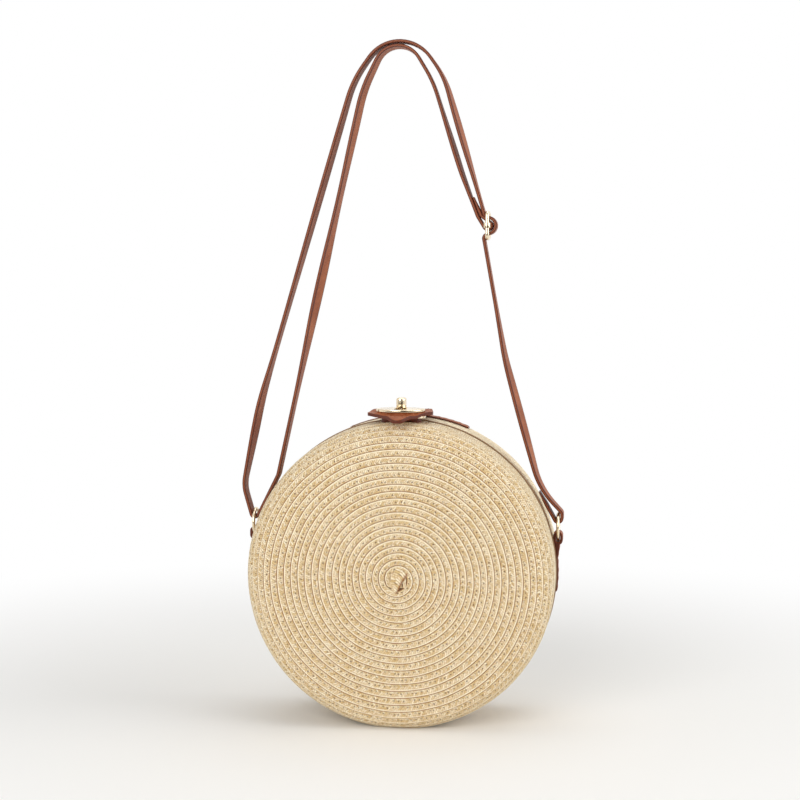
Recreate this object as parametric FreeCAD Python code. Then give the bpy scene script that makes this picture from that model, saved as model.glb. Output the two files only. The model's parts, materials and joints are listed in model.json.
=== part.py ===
import FreeCAD, Part
import math
import os

# Round straw shoulder bag, in millimetres.
# +X is the right seen from the front, -Y is the front, +Z is up.
# The origin is the middle of the base, on the surface that the bag stands on.

# Straw drum
RADIUS = 94.5
DEPTH = 80.0
STRAW = 3.0
RIM_RADIUS = 8.0
REST_FLAT = 1.5
MOUTH_Y = -4.0
MOUTH_GAP = 0.3
BINDING_WIDTH = 1.6
BINDING_PROUD = 0.4

# Cloth lining
LINING = 0.8
LINING_ROOM = 1.3
LINING_CORNER = 5.0

# Leather, and how close sewn leather sits to the straw
LEATHER = 2.0
TAB_LEATHER = 1.6
SEAT = 0.1
FIT = 0.05
CLEAR = 0.3

# Twist lock on the front band
LOCK_BACK = 14.0
LOCK_LENGTH = 30.0
LOCK_WIDTH = 20.0
LOCK_PLATE = 1.4
LOCK_ROUND = 0.45
PAD_LENGTH = 34.0
PAD_WIDTH = 23.0
PAD_RISE = 2.0
RIVET_SPREAD = 22.0
RIVET = 2.4
BACKING_LENGTH = 28.0
BACKING_WIDTH = 16.0
BACKING_PLATE = 0.8
KNOB_LENGTH = 9.5
KNOB_WIDTH = 6.0
KNOB_HEIGHT = 6.2
KNOB_ROUND = 1.4
NECK = 4.6
WASHER = 7.6
WASHER_PLATE = 0.7
WASHER_POCKET = 9.0

# Closure tab and its slotted plate
SLOT_RUN = 8.0
SLOT_SIDE = 0.5
SLOT_END = 0.4
EYELET_LENGTH = 30.0
EYELET_FRAME = 3.0
EYELET_PLATE = 1.5
EYELET_BACK = 0.6
EYELET_ROUND = 0.6
EYELET_RIVET = 1.8
EYELET_RIVET_SPREAD = 23.0
TAB_ROOT_IN = 15.0
TAB_ROOT_WIDTH = 26.0
TAB_WIDTH = 39.0
TAB_BEYOND = 8.25
TAB_CORNER = 5.0
TAB_ROOT_CORNER = 3.0
TAB_DROOP = 3.5
TAB_RISE_BEND = 40.0
TAB_DROOP_BEND = 7.0
ANCHOR_LENGTH = 76.0
ANCHOR_WIDTH = 12.0
ANCHOR_LEATHER = 1.4

# Rings and the leather loops that hold them
STRAP_Y = 3.0
RING_MEAN = 8.0
RING_WIRE = 2.0
RING_LIFT = 28.0
RING_OUT = 5.0
RING_PLAY = 0.35
SIDE_TAB_DROP = 12.0

# Strap and slider
STRAP_WIDTH = 10.0
STRAP_LAP = 0.2
FOLD_LENGTH = 18.0
STRAP_RISE = 231.7
APEX_X = -4.4
APEX_RADIUS = 27.2
APEX_INNER_RADIUS = 19.5
APEX_SPACING = 3.9
SLIDER_X = 51.0
SLIDER_DROP = 112.6
SLIDER_WIRE = 2.4
SLIDER_SPACING = 7.8
SLIDER_SIDE_GAP = 1.4
SLIDER_CORNER = 2.4
COLLAR_WALL = 0.9
COLLAR_HEIGHT = 3.0

# Lie of the strap: each long strand bends some way up its span from its low end, to the left of that
# line, and its heading there is an angle from the line; the inner left strand comes to rest near the band
FOLD_BEND_IN = 2.9
FOLD_BEND_UP = 7.4
FOLD_BEND_RADIUS = 3.0
BULGE_IN = 17.3
BULGE_UP = 18.4
BULGE_RADIUS = 24.0
BAND_REST_ANGLE = 145.4
BAND_REST_RADIUS = 8.0
BAND_REST_CLEAR = 5.0
SAG_RUN = 134.2
SAG_ASIDE = 6.4
SAG_ANGLE = 182.9
SAG_RADIUS = 500.0
LEFT_LEAN_RUN = 65.8
LEFT_LEAN_ASIDE = 19.3
LEFT_LEAN_ANGLE = 4.9
LEFT_LEAN_RADIUS = 250.0
RIGHT_LEAN_RUN = 100.2
RIGHT_LEAN_ASIDE = 7.2
RIGHT_LEAN_ANGLE = 178.6
RIGHT_LEAN_RADIUS = 200.0
RIGHT_FLARE_RUN = 22.6
RIGHT_FLARE_ASIDE = 5.9
RIGHT_FLARE_ANGLE = 189.2
RIGHT_FLARE_RADIUS = 50.0

# Derived places
CENTRE_Z = RADIUS - REST_FLAT
CROWN_Z = CENTRE_Z + RADIUS
HALF_DEPTH = DEPTH / 2
LOCK_Y = MOUTH_Y - LOCK_BACK
TAB_HINGE_Y = HALF_DEPTH - TAB_ROOT_IN
LINING_RADIUS = RADIUS - STRAW - LINING_ROOM
PAD_TOP = CROWN_Z + PAD_RISE
LOCK_TOP = PAD_TOP + LOCK_PLATE
EYELET_BACK_Z = LOCK_TOP + CLEAR
TAB_UNDER = EYELET_BACK_Z + EYELET_BACK
TAB_TOP = TAB_UNDER + LEATHER
TAB_MIDDLE = TAB_UNDER + LEATHER / 2
EYELET_TOP = TAB_TOP + EYELET_PLATE
KNOB_UNDER = EYELET_TOP + CLEAR
SLOT_WIDTH = KNOB_WIDTH + 2 * SLOT_SIDE
SLOT_REAR = LOCK_Y + KNOB_LENGTH / 2 + SLOT_END
SLOT_FRONT = LOCK_Y - KNOB_LENGTH / 2 - SLOT_RUN
SLOT_LENGTH = SLOT_REAR - SLOT_FRONT
EYELET_Y = (SLOT_REAR + SLOT_FRONT) / 2
EYELET_WIDTH = SLOT_LENGTH + 2 * EYELET_FRAME
EYELET_FRONT = EYELET_Y - EYELET_WIDTH / 2
TAB_TIP_Y = EYELET_FRONT - TAB_BEYOND
TAB_HINGE_Z = CROWN_Z + SEAT + ANCHOR_LEATHER + CLEAR + LEATHER / 2
RING_Z = CENTRE_Z + RING_LIFT
RING_X = math.sqrt(RADIUS ** 2 - RING_LIFT ** 2) + RING_OUT
APEX_Z = CROWN_Z + STRAP_RISE
SLIDER_Z = APEX_Z - SLIDER_DROP

ANTICLOCKWISE = 1
CLOCKWISE = -1
MIDDLE = FreeCAD.Vector(0, 0, CENTRE_Z)
ALONG_X = FreeCAD.Vector(1, 0, 0)
ALONG_Y = FreeCAD.Vector(0, 1, 0)
ALONG_Z = FreeCAD.Vector(0, 0, 1)


def export(name, shape):
    """Write one sub-part to its own file and report it."""
    shape.exportStep("parts/" + name + ".step")
    print(name, "solids", len(shape.Solids), "volume", round(shape.Volume, 1), "valid", shape.isValid())


def front_plane(u, v):
    """Place a drawn point in the upright plane that faces the front."""
    return FreeCAD.Vector(u, 0, v)


def side_plane(u, v):
    """Place a drawn point in the upright plane that faces the side."""
    return FreeCAD.Vector(0, u, v)


def floor_plane(u, v):
    """Place a drawn point in the level plane."""
    return FreeCAD.Vector(u, v, 0)


def tangent_run(first, second):
    """Straight run of a band between two guides, each (u, v, radius, turn)."""
    au, av, ar, at = first
    bu, bv, br, bt = second
    du = bu - au
    dv = bv - av
    lean = math.asin((bt * br - at * ar) / math.hypot(du, dv))
    heading = math.atan2(dv, du) - lean
    nu = -math.sin(heading)
    nv = math.cos(heading)
    leave = (au - at * ar * nu, av - at * ar * nv)
    arrive = (bu - bt * br * nu, bv - bt * br * nv)
    return leave, arrive, heading


def bend_along(low_end, far_end, run, aside, angle, radius, turn):
    """Guide that bends a band a run up the line from its low end, to the left, at an angle to that line."""
    du = far_end[0] - low_end[0]
    dv = far_end[1] - low_end[1]
    span = math.hypot(du, dv)
    u = low_end[0] + (du * run - dv * aside) / span
    v = low_end[1] + (dv * run + du * aside) / span
    heading = math.atan2(dv, du) + math.radians(angle)
    return (u - turn * radius * math.sin(heading), v + turn * radius * math.cos(heading), radius, turn)


def arc_edge(guide, radius, start_angle, end_angle, place):
    """Arc on a guide from one angle to another, in the guide's own sense."""
    u, v, turn = guide[0], guide[1], guide[3]
    sweep = (end_angle - start_angle) * turn % (2 * math.pi)
    points = []
    for share in (0, 0.5, 1):
        angle = start_angle + turn * sweep * share
        points.append(place(u + radius * math.cos(angle), v + radius * math.sin(angle)))
    return Part.Arc(*points).toShape()


def band_side(guides, runs, offset, place):
    """Edges of one side of a band, offset to the left of its middle line."""
    edges = []
    for index, (leave, arrive, heading) in enumerate(runs):
        nu = -math.sin(heading) * offset
        nv = math.cos(heading) * offset
        start = place(leave[0] + nu, leave[1] + nv)
        end = place(arrive[0] + nu, arrive[1] + nv)
        edges.append(Part.LineSegment(start, end).toShape())
        if index + 1 < len(runs):
            guide = guides[index + 1]
            turn = guide[3]
            quarter = -turn * math.pi / 2
            next_heading = runs[index + 1][2]
            radius = guide[2] - turn * offset
            edges.append(arc_edge(guide, radius, heading + quarter, next_heading + quarter, place))
    return edges


def band_face(guides, thickness, place):
    """Flat face of a band of one thickness, drawn round guides from its first point to its last."""
    runs = [tangent_run(a, b) for a, b in zip(guides, guides[1:])]
    left = band_side(guides, runs, thickness / 2, place)
    right = band_side(guides, runs, -thickness / 2, place)
    start_cap = Part.LineSegment(right[0].Vertexes[0].Point, left[0].Vertexes[0].Point).toShape()
    end_cap = Part.LineSegment(left[-1].Vertexes[-1].Point, right[-1].Vertexes[-1].Point).toShape()
    edges = left + [end_cap] + right + [start_cap]
    return Part.Face(Part.Wire(Part.__sortEdges__(edges)))


def outline_face(circles, place):
    """Convex outline round circles (u, v, radius), listed anticlockwise."""
    guides = [(u, v, radius, ANTICLOCKWISE) for u, v, radius in circles]
    runs = [tangent_run(a, b) for a, b in zip(guides, guides[1:] + guides[:1])]
    edges = []
    for index, (leave, arrive, heading) in enumerate(runs):
        following = (index + 1) % len(runs)
        guide = guides[following]
        quarter = -math.pi / 2
        edges.append(Part.LineSegment(place(*leave), place(*arrive)).toShape())
        edges.append(arc_edge(guide, guide[2], heading + quarter, runs[following][2] + quarter, place))
    return Part.Face(Part.Wire(Part.__sortEdges__(edges)))


def oval_prism(length, width, y, bottom, top):
    """Upright oval prism, its length along X."""
    long_side = max(length, width) / 2
    short_side = min(length, width) / 2
    oval = Part.Ellipse(FreeCAD.Vector(0, 0, 0), long_side, short_side).toShape()
    if width > length:
        oval.rotate(FreeCAD.Vector(0, 0, 0), ALONG_Z, 90)
    face = Part.Face(Part.Wire([oval]))
    face.translate(FreeCAD.Vector(0, y, bottom))
    return face.extrude(ALONG_Z * (top - bottom))


def slot_prism(length, width, y, bottom, top):
    """Upright round-ended prism, its length along Y."""
    reach = (length - width) / 2
    face = outline_face([(0, y + reach, width / 2), (0, y - reach, width / 2)], floor_plane)
    face.translate(ALONG_Z * bottom)
    return face.extrude(ALONG_Z * (top - bottom))


def upright_pin(diameter, x, y, bottom, top):
    """Round pin along Z."""
    return Part.makeCylinder(diameter / 2, top - bottom, FreeCAD.Vector(x, y, bottom))


def rivet_pair(diameter, spread, y, bottom, top):
    """Two pins, spread evenly about the middle plane."""
    pins = [upright_pin(diameter, side * spread / 2, y, bottom, top) for side in (-1, 1)]
    return Part.makeCompound(pins)


def edges_at_height(shape, height):
    """Edges of a shape that lie level at one height."""
    near = 1e-6
    level = []
    for edge in shape.Edges:
        box = edge.BoundBox
        if abs(box.ZMin - height) < near and abs(box.ZMax - height) < near:
            level.append(edge)
    return level


def drum_tube(outer, inner, y_a, y_b):
    """Tube about the drum's axis between two depths."""
    low = min(y_a, y_b)
    base = FreeCAD.Vector(0, low, CENTRE_Z)
    solid = Part.makeCylinder(outer, abs(y_b - y_a), base, ALONG_Y)
    bore = Part.makeCylinder(inner, abs(y_b - y_a), base, ALONG_Y)
    return solid.cut(bore)


def pressed_flat(shape):
    """Cut away what lies below the surface that the bag stands on."""
    reach = 2 * RADIUS
    below = Part.makeBox(2 * reach, 2 * reach, reach, FreeCAD.Vector(-reach, -reach, -reach))
    return shape.cut(below)


def dish(outer, wall, corner, face_y, open_y, inward):
    """Round dish about the drum's axis: a flat face, a rounded rim and, past it, a plain wall."""
    flat = outer - corner
    rim_y = face_y + inward * corner
    diagonal = math.sqrt(0.5)

    def at(radius, y):
        return FreeCAD.Vector(radius, y, CENTRE_Z)

    def rim(radius):
        middle = at(flat + radius * diagonal, rim_y - inward * radius * diagonal)
        return Part.Arc(at(flat, rim_y - inward * radius), middle, at(flat + radius, rim_y)).toShape()

    inner_corner = corner - wall
    inner_face_y = face_y + inward * wall
    edges = [
        Part.LineSegment(at(0, face_y), at(flat, face_y)).toShape(),
        rim(corner),
        Part.LineSegment(at(outer - wall, open_y), at(outer, open_y)).toShape(),
        rim(inner_corner),
        Part.LineSegment(at(flat, inner_face_y), at(0, inner_face_y)).toShape(),
        Part.LineSegment(at(0, inner_face_y), at(0, face_y)).toShape(),
    ]
    if open_y != rim_y:
        edges.append(Part.LineSegment(at(outer, rim_y), at(outer, open_y)).toShape())
        edges.append(Part.LineSegment(at(outer - wall, rim_y), at(outer - wall, open_y)).toShape())
    face = Part.Face(Part.Wire(Part.__sortEdges__(edges)))
    return face.revolve(MIDDLE, ALONG_Y, 360)


def half_places(side):
    """Depths of one half: face, rim, edge of the straw band and edge of the mouth."""
    face_y = side * HALF_DEPTH
    rim_y = side * (HALF_DEPTH - RIM_RADIUS)
    edge_y = MOUTH_Y + side * MOUTH_GAP / 2
    band_y = edge_y + side * BINDING_WIDTH
    return face_y, rim_y, band_y, edge_y


def straw_half(name, side):
    """Panel, binding and lining of one half, and its band, which is returned."""
    face_y, rim_y, band_y, edge_y = half_places(side)
    panel = dish(RADIUS, STRAW, RIM_RADIUS, face_y, rim_y, -side)
    export(name + "_panel", pressed_flat(panel))
    binding = drum_tube(RADIUS + BINDING_PROUD, LINING_RADIUS - LINING, band_y, edge_y)
    export(name + "_binding", pressed_flat(binding))
    lining_y = face_y - side * (STRAW + CLEAR)
    export(name + "_lining", dish(LINING_RADIUS, LINING, LINING_CORNER, lining_y, band_y, -side))
    return pressed_flat(drum_tube(RADIUS, RADIUS - STRAW, rim_y, band_y))


def lock_on_front_band(band):
    """Band with its rivet holes, and the pad, plates and rivets of the lock."""
    backing_outer = RADIUS - STRAW - SEAT
    backing_inner = backing_outer - BACKING_PLATE
    rivet_low = CENTRE_Z + math.sqrt(backing_inner ** 2 - (RIVET_SPREAD / 2 + RIVET / 2) ** 2)
    holes = rivet_pair(RIVET + 2 * FIT, RIVET_SPREAD, LOCK_Y, CENTRE_Z, LOCK_TOP)
    export("front_gusset", band.cut(holes))

    pad = oval_prism(PAD_LENGTH, PAD_WIDTH, LOCK_Y, CENTRE_Z, PAD_TOP)
    drum = Part.makeCylinder(RADIUS + SEAT, DEPTH, FreeCAD.Vector(0, -HALF_DEPTH, CENTRE_Z), ALONG_Y)
    pocket = upright_pin(WASHER_POCKET, 0, LOCK_Y, CENTRE_Z, PAD_TOP)
    export("lock_pad", pad.cut(drum).cut(pocket).cut(holes))

    plate = oval_prism(LOCK_LENGTH, LOCK_WIDTH, LOCK_Y, PAD_TOP, LOCK_TOP)
    plate = plate.makeFillet(LOCK_ROUND, edges_at_height(plate, LOCK_TOP))
    bore = upright_pin(NECK + 2 * FIT, 0, LOCK_Y, PAD_TOP, LOCK_TOP)
    export("lock_base_plate", plate.cut(bore).cut(holes))

    backing = oval_prism(BACKING_LENGTH, BACKING_WIDTH, LOCK_Y, CENTRE_Z, CROWN_Z)
    sheet = drum_tube(backing_outer, backing_inner, -HALF_DEPTH, HALF_DEPTH)
    export("lock_backing_plate", backing.common(sheet).cut(holes))
    export("lock_rivets", rivet_pair(RIVET, RIVET_SPREAD, LOCK_Y, rivet_low, LOCK_TOP))


def turning_post():
    """Bar and neck of the lock, kept in the base plate by a washer."""
    washer_top = PAD_TOP - FIT
    washer_low = washer_top - WASHER_PLATE
    knob_top = KNOB_UNDER + KNOB_HEIGHT
    bar = slot_prism(KNOB_LENGTH, KNOB_WIDTH, LOCK_Y, KNOB_UNDER, knob_top)
    bar = bar.makeFillet(KNOB_ROUND, edges_at_height(bar, knob_top))
    neck = upright_pin(NECK, 0, LOCK_Y, washer_low, KNOB_UNDER)
    export("turn_knob", bar.fuse(neck).removeSplitter())
    washer = upright_pin(WASHER, 0, LOCK_Y, washer_low, washer_top)
    export("knob_washer", washer.cut(upright_pin(NECK + 2 * FIT, 0, LOCK_Y, washer_low, washer_top)))


def closure():
    """Leather tab over the mouth, with its slotted plates, and the strip it is sewn to."""
    guides = [
        (TAB_HINGE_Y, TAB_HINGE_Z, 0, ANTICLOCKWISE),
        (MOUTH_Y, TAB_MIDDLE - TAB_RISE_BEND, TAB_RISE_BEND, ANTICLOCKWISE),
        (EYELET_FRONT, TAB_MIDDLE - TAB_DROOP_BEND, TAB_DROOP_BEND, ANTICLOCKWISE),
        (TAB_TIP_Y, TAB_MIDDLE - TAB_DROOP, 0, ANTICLOCKWISE),
    ]
    sheet = band_face(guides, LEATHER, side_plane)
    sheet.translate(ALONG_X * -TAB_WIDTH)
    sheet = sheet.extrude(ALONG_X * 2 * TAB_WIDTH)
    root_start = FreeCAD.Vector(-TAB_WIDTH, TAB_HINGE_Y, TAB_HINGE_Z)
    sheet = sheet.fuse(Part.makeCylinder(LEATHER / 2, 2 * TAB_WIDTH, root_start, ALONG_X))
    root_x = TAB_ROOT_WIDTH / 2 - TAB_ROOT_CORNER
    root_y = TAB_HINGE_Y + LEATHER / 2 - TAB_ROOT_CORNER
    wide_x = TAB_WIDTH / 2 - TAB_CORNER
    outline = outline_face([
        (root_x, root_y, TAB_ROOT_CORNER),
        (-root_x, root_y, TAB_ROOT_CORNER),
        (-wide_x, LOCK_Y, TAB_CORNER),
        (0, TAB_TIP_Y + TAB_CORNER, TAB_CORNER),
        (wide_x, LOCK_Y, TAB_CORNER),
    ], floor_plane)
    outline.translate(ALONG_Z * CENTRE_Z)
    leather = sheet.common(outline.extrude(ALONG_Z * DEPTH * 2))
    slot = slot_prism(SLOT_LENGTH, SLOT_WIDTH, EYELET_Y, EYELET_BACK_Z, EYELET_TOP)
    holes = rivet_pair(EYELET_RIVET + 2 * FIT, EYELET_RIVET_SPREAD, EYELET_Y, EYELET_BACK_Z, EYELET_TOP)
    export("closure_tab", leather.cut(slot).cut(holes).removeSplitter())

    plate = oval_prism(EYELET_LENGTH, EYELET_WIDTH, EYELET_Y, TAB_TOP, EYELET_TOP)
    plate = plate.makeFillet(EYELET_ROUND, edges_at_height(plate, EYELET_TOP))
    export("eyelet_plate", plate.cut(slot).cut(holes))
    back = oval_prism(EYELET_LENGTH, EYELET_WIDTH, EYELET_Y, EYELET_BACK_Z, TAB_UNDER)
    export("eyelet_back_plate", back.cut(slot).cut(holes))
    rivets = rivet_pair(EYELET_RIVET, EYELET_RIVET_SPREAD, EYELET_Y, EYELET_BACK_Z, EYELET_TOP)
    export("eyelet_rivets", rivets)

    low = RADIUS + SEAT
    strip_front = TAB_HINGE_Y - ANCHOR_WIDTH / 2
    strip = drum_tube(low + ANCHOR_LEATHER, low, strip_front, strip_front + ANCHOR_WIDTH)
    keep_corner = FreeCAD.Vector(-ANCHOR_LENGTH / 2, 0, CENTRE_Z)
    keep = Part.makeBox(ANCHOR_LENGTH, DEPTH, 2 * RADIUS, keep_corner)
    export("anchor_strip", strip.common(keep))


def side_tab(name, side):
    """Leather strip folded round the foot of a ring and sewn down on the rear band."""
    wire_z = RING_Z - RING_MEAN
    half_bore = RING_WIRE / 2 + RING_PLAY
    half_strap = STRAP_WIDTH / 2 + RING_PLAY
    inner_ring = RING_MEAN - RING_WIRE / 2
    bore_top = RING_Z - math.sqrt(inner_ring ** 2 - half_strap ** 2) + RING_PLAY
    bore_high = (RING_X, bore_top - half_bore, half_bore)
    bore_low = (RING_X, wire_z, half_bore)
    loop_high = (RING_X, bore_high[1], half_bore + TAB_LEATHER)
    loop_low = (RING_X, wire_z, half_bore + TAB_LEATHER)
    loop = outline_face([loop_high, loop_low], front_plane).extrude(ALONG_Y * STRAP_WIDTH)
    bore = outline_face([bore_high, bore_low], front_plane).extrude(ALONG_Y * STRAP_WIDTH)
    drum = Part.makeCylinder(RADIUS + SEAT, STRAP_WIDTH, MIDDLE, ALONG_Y)
    strip = drum_tube(RADIUS + SEAT + 2 * TAB_LEATHER, RADIUS + SEAT, 0, STRAP_WIDTH)
    tail_z = CENTRE_Z - SIDE_TAB_DROP
    keep = Part.makeBox(RADIUS, STRAP_WIDTH, wire_z - tail_z, FreeCAD.Vector(RADIUS / 2, 0, tail_z))
    tab = strip.common(keep).fuse(loop).cut(drum).cut(bore).removeSplitter()
    tab.translate(ALONG_Y * (STRAP_Y - STRAP_WIDTH / 2))
    if side < 0:
        tab = tab.mirror(FreeCAD.Vector(0, 0, 0), ALONG_X)
    export(name, tab)


def ring(name, side):
    """Round ring that stands in the side tab, square to the strap."""
    place = FreeCAD.Vector(side * RING_X, STRAP_Y, RING_Z)
    export(name, Part.makeTorus(RING_MEAN, RING_WIRE / 2, place, ALONG_X))


def slider():
    """Wire frame of the slider and the bar that its collars carry on the frame's sides."""
    wire = SLIDER_WIRE / 2
    half_width = STRAP_WIDTH / 2 + SLIDER_SIDE_GAP + wire
    corner_y = half_width - SLIDER_CORNER
    corner_z = SLIDER_SPACING - SLIDER_CORNER
    corners = [(corner_y, corner_z), (-corner_y, corner_z), (-corner_y, -corner_z), (corner_y, -corner_z)]
    path = outline_face([(u, v, SLIDER_CORNER) for u, v in corners], side_plane).OuterWire
    first = path.OrderedEdges[0]
    start = first.valueAt(first.FirstParameter)
    section = Part.Wire([Part.Circle(start, first.tangentAt(first.FirstParameter), wire).toShape()])
    frame = path.makePipeShell([section], True, False)
    place = FreeCAD.Vector(SLIDER_X, STRAP_Y, SLIDER_Z)
    frame.translate(place)
    export("slider_frame", frame)

    bar = Part.makeCylinder(wire, 2 * half_width, FreeCAD.Vector(0, -half_width, 0), ALONG_Y)
    for side in (-1, 1):
        foot = FreeCAD.Vector(0, side * half_width, -COLLAR_HEIGHT / 2)
        bar = bar.fuse(Part.makeCylinder(wire + COLLAR_WALL, COLLAR_HEIGHT, foot))
    for side in (-1, 1):
        foot = FreeCAD.Vector(0, side * half_width, -COLLAR_HEIGHT)
        bar = bar.cut(Part.makeCylinder(wire + FIT, 2 * COLLAR_HEIGHT, foot))
    bar.translate(place)
    export("slider_bar", bar)


def strap_guides():
    """What the strap's middle line runs round, from its sewn end on the slider to its sewn end on a ring."""
    half = LEATHER / 2
    lap = LEATHER + STRAP_LAP
    wire = SLIDER_WIRE / 2
    inner_ring = RING_MEAN - RING_WIRE / 2
    ring_pass = RING_WIRE / 2 + RING_PLAY + half
    chord = math.sqrt(inner_ring ** 2 - (STRAP_WIDTH / 2 + RING_PLAY) ** 2)
    pass_z = RING_Z + chord - RING_PLAY + ring_pass - half
    bar_wrap = wire + STRAP_LAP + half
    over_wrap = bar_wrap + lap + CLEAR
    side_wrap = wire + STRAP_LAP + half
    fold_bend = (SLIDER_X - FOLD_BEND_IN, SLIDER_Z + FOLD_BEND_UP, FOLD_BEND_RADIUS, CLOCKWISE)
    fold_outer = (fold_bend[0], fold_bend[1], fold_bend[2] + lap, ANTICLOCKWISE)

    apex_inner = (APEX_X, APEX_Z - APEX_SPACING - APEX_INNER_RADIUS, APEX_INNER_RADIUS, ANTICLOCKWISE)
    apex_outer = (APEX_X, APEX_Z - APEX_RADIUS, APEX_RADIUS, CLOCKWISE)
    left_pass = (-RING_X, pass_z, ring_pass, CLOCKWISE)
    rest_out = RADIUS + BAND_REST_CLEAR + half + BAND_REST_RADIUS
    rest_angle = math.radians(BAND_REST_ANGLE)
    rest_x = rest_out * math.cos(rest_angle)
    rest_z = CENTRE_Z + rest_out * math.sin(rest_angle)
    left_rest = (rest_x, rest_z, BAND_REST_RADIUS, CLOCKWISE)
    left_sag = bend_along(left_rest, apex_inner, SAG_RUN, SAG_ASIDE, SAG_ANGLE, SAG_RADIUS, ANTICLOCKWISE)
    left_bulge = (-RING_X + BULGE_IN, pass_z + BULGE_UP, BULGE_RADIUS, CLOCKWISE)
    left_lean = bend_along(
        left_pass, apex_outer, LEFT_LEAN_RUN, LEFT_LEAN_ASIDE, LEFT_LEAN_ANGLE,
        LEFT_LEAN_RADIUS, CLOCKWISE)
    bar_high = (SLIDER_X, SLIDER_Z + SLIDER_SPACING, side_wrap, ANTICLOCKWISE)
    bar_middle = (SLIDER_X, SLIDER_Z, over_wrap, CLOCKWISE)
    bar_low = (SLIDER_X, SLIDER_Z - SLIDER_SPACING, side_wrap, ANTICLOCKWISE)
    right_top = (RING_X, RING_Z + RING_MEAN, ring_pass, CLOCKWISE)
    right_lean = bend_along(
        right_top, bar_low, RIGHT_LEAN_RUN, RIGHT_LEAN_ASIDE, RIGHT_LEAN_ANGLE,
        RIGHT_LEAN_RADIUS, ANTICLOCKWISE)
    right_flare = bend_along(
        right_top, bar_low, RIGHT_FLARE_RUN, RIGHT_FLARE_ASIDE, RIGHT_FLARE_ANGLE,
        RIGHT_FLARE_RADIUS, ANTICLOCKWISE)
    right_pass = (RING_X, pass_z, ring_pass, CLOCKWISE)

    leave, arrive, heading = tangent_run(fold_bend, apex_inner)
    along = (math.cos(heading), math.sin(heading))
    first_end = (
        leave[0] + along[0] * FOLD_LENGTH - along[1] * lap,
        leave[1] + along[1] * FOLD_LENGTH + along[0] * lap,
        0,
        ANTICLOCKWISE,
    )
    leave, arrive, heading = tangent_run(right_flare, right_top)
    along = (math.cos(heading), math.sin(heading))
    last_end = (
        arrive[0] - along[0] * FOLD_LENGTH + along[1] * lap,
        arrive[1] - along[1] * FOLD_LENGTH - along[0] * lap,
        0,
        CLOCKWISE,
    )
    bar_loop = (SLIDER_X, SLIDER_Z, bar_wrap, ANTICLOCKWISE)
    rise = [first_end, fold_outer, bar_loop, fold_bend, apex_inner]
    left = [left_sag, left_rest, left_pass, left_bulge, left_lean, apex_outer]
    right = [bar_high, bar_middle, bar_low, right_lean, right_flare, right_top, right_pass, last_end]
    return rise + left + right


def strap():
    """The strap: one band of leather, drawn from the front and as deep as it is wide."""
    face = band_face(strap_guides(), LEATHER, front_plane)
    face.translate(ALONG_Y * (STRAP_Y - STRAP_WIDTH / 2))
    export("strap", face.extrude(ALONG_Y * STRAP_WIDTH))


os.makedirs("parts", exist_ok=True)
export("rear_gusset", straw_half("rear", 1))
lock_on_front_band(straw_half("front", -1))
turning_post()
closure()
side_tab("side_tab_left", -1)
side_tab("side_tab_right", 1)
ring("ring_left", -1)
ring("ring_right", 1)
slider()
strap()
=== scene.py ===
# %% [markdown]
# # Round straw shoulder bag
# The bag is a drum of sewn straw braid in two halves, a leather tab with a twist lock on top, and a
# doubled leather strap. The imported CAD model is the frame: it fixes every size and every joint, and
# this file dresses it. Nothing here moves or resizes a CAD part.

# %% Load the frame
import json
import math

import bmesh
import bpy
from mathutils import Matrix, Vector, noise
from mathutils.bvhtree import BVHTree


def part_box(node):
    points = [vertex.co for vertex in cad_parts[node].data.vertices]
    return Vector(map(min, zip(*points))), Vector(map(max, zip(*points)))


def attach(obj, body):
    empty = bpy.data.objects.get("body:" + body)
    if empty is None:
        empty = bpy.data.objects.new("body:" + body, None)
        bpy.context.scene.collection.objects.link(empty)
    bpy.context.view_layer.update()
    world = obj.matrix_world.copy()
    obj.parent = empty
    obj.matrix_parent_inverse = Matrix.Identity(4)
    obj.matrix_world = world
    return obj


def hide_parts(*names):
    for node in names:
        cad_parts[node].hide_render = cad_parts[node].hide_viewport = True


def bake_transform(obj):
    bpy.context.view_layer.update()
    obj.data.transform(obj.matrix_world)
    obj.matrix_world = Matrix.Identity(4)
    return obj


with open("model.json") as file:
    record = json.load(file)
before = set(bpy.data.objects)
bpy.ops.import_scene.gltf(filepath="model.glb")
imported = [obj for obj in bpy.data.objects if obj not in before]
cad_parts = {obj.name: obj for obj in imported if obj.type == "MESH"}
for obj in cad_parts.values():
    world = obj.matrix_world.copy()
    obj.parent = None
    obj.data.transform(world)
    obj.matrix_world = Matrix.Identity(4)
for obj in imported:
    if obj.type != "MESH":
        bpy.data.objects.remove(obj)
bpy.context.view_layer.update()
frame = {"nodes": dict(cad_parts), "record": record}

MM = 0.001
scene = bpy.context.scene

# %% [markdown]
# ## Sizes that the frame gives
# A learner could type every radius again, but two copies of a size drift apart. So the drum's radius,
# its faces and the edges of its mouth are read from the boxes of the CAD nodes.

# %% Read the drum's sizes
front_low, front_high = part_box("front_panel")
DRUM_RADIUS = front_high.x
CENTRE_Z = front_high.z - DRUM_RADIUS
FRONT_FACE = front_low.y
# The frame's rim is tighter: sewn straw gives way there, so it is drawn rounder
RIM_GIVE = 6.0 * MM
RIM = front_high.y - front_low.y + RIM_GIVE
FLAT_RADIUS = DRUM_RADIUS - RIM
RIM_END = FLAT_RADIUS + RIM * math.pi / 2
# How deep the mouth of each half lies when its own face is turned to the front
MOUTH_EDGE = {"front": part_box("front_gusset")[1].y, "rear": -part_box("rear_gusset")[0].y}
print("drum radius", round(DRUM_RADIUS / MM, 2), "mm, axis", round(CENTRE_Z / MM, 2), "mm up")

# %% [markdown]
# ## Helpers for finishes
# A node tree is a list of nodes with settings and links, so one function adds a node and fills its
# inputs. Colours are written as sRGB hex values, as a picker shows them, and turned to linear light.
# Every finish starts from the same small tree, with one shader and an output.


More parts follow.
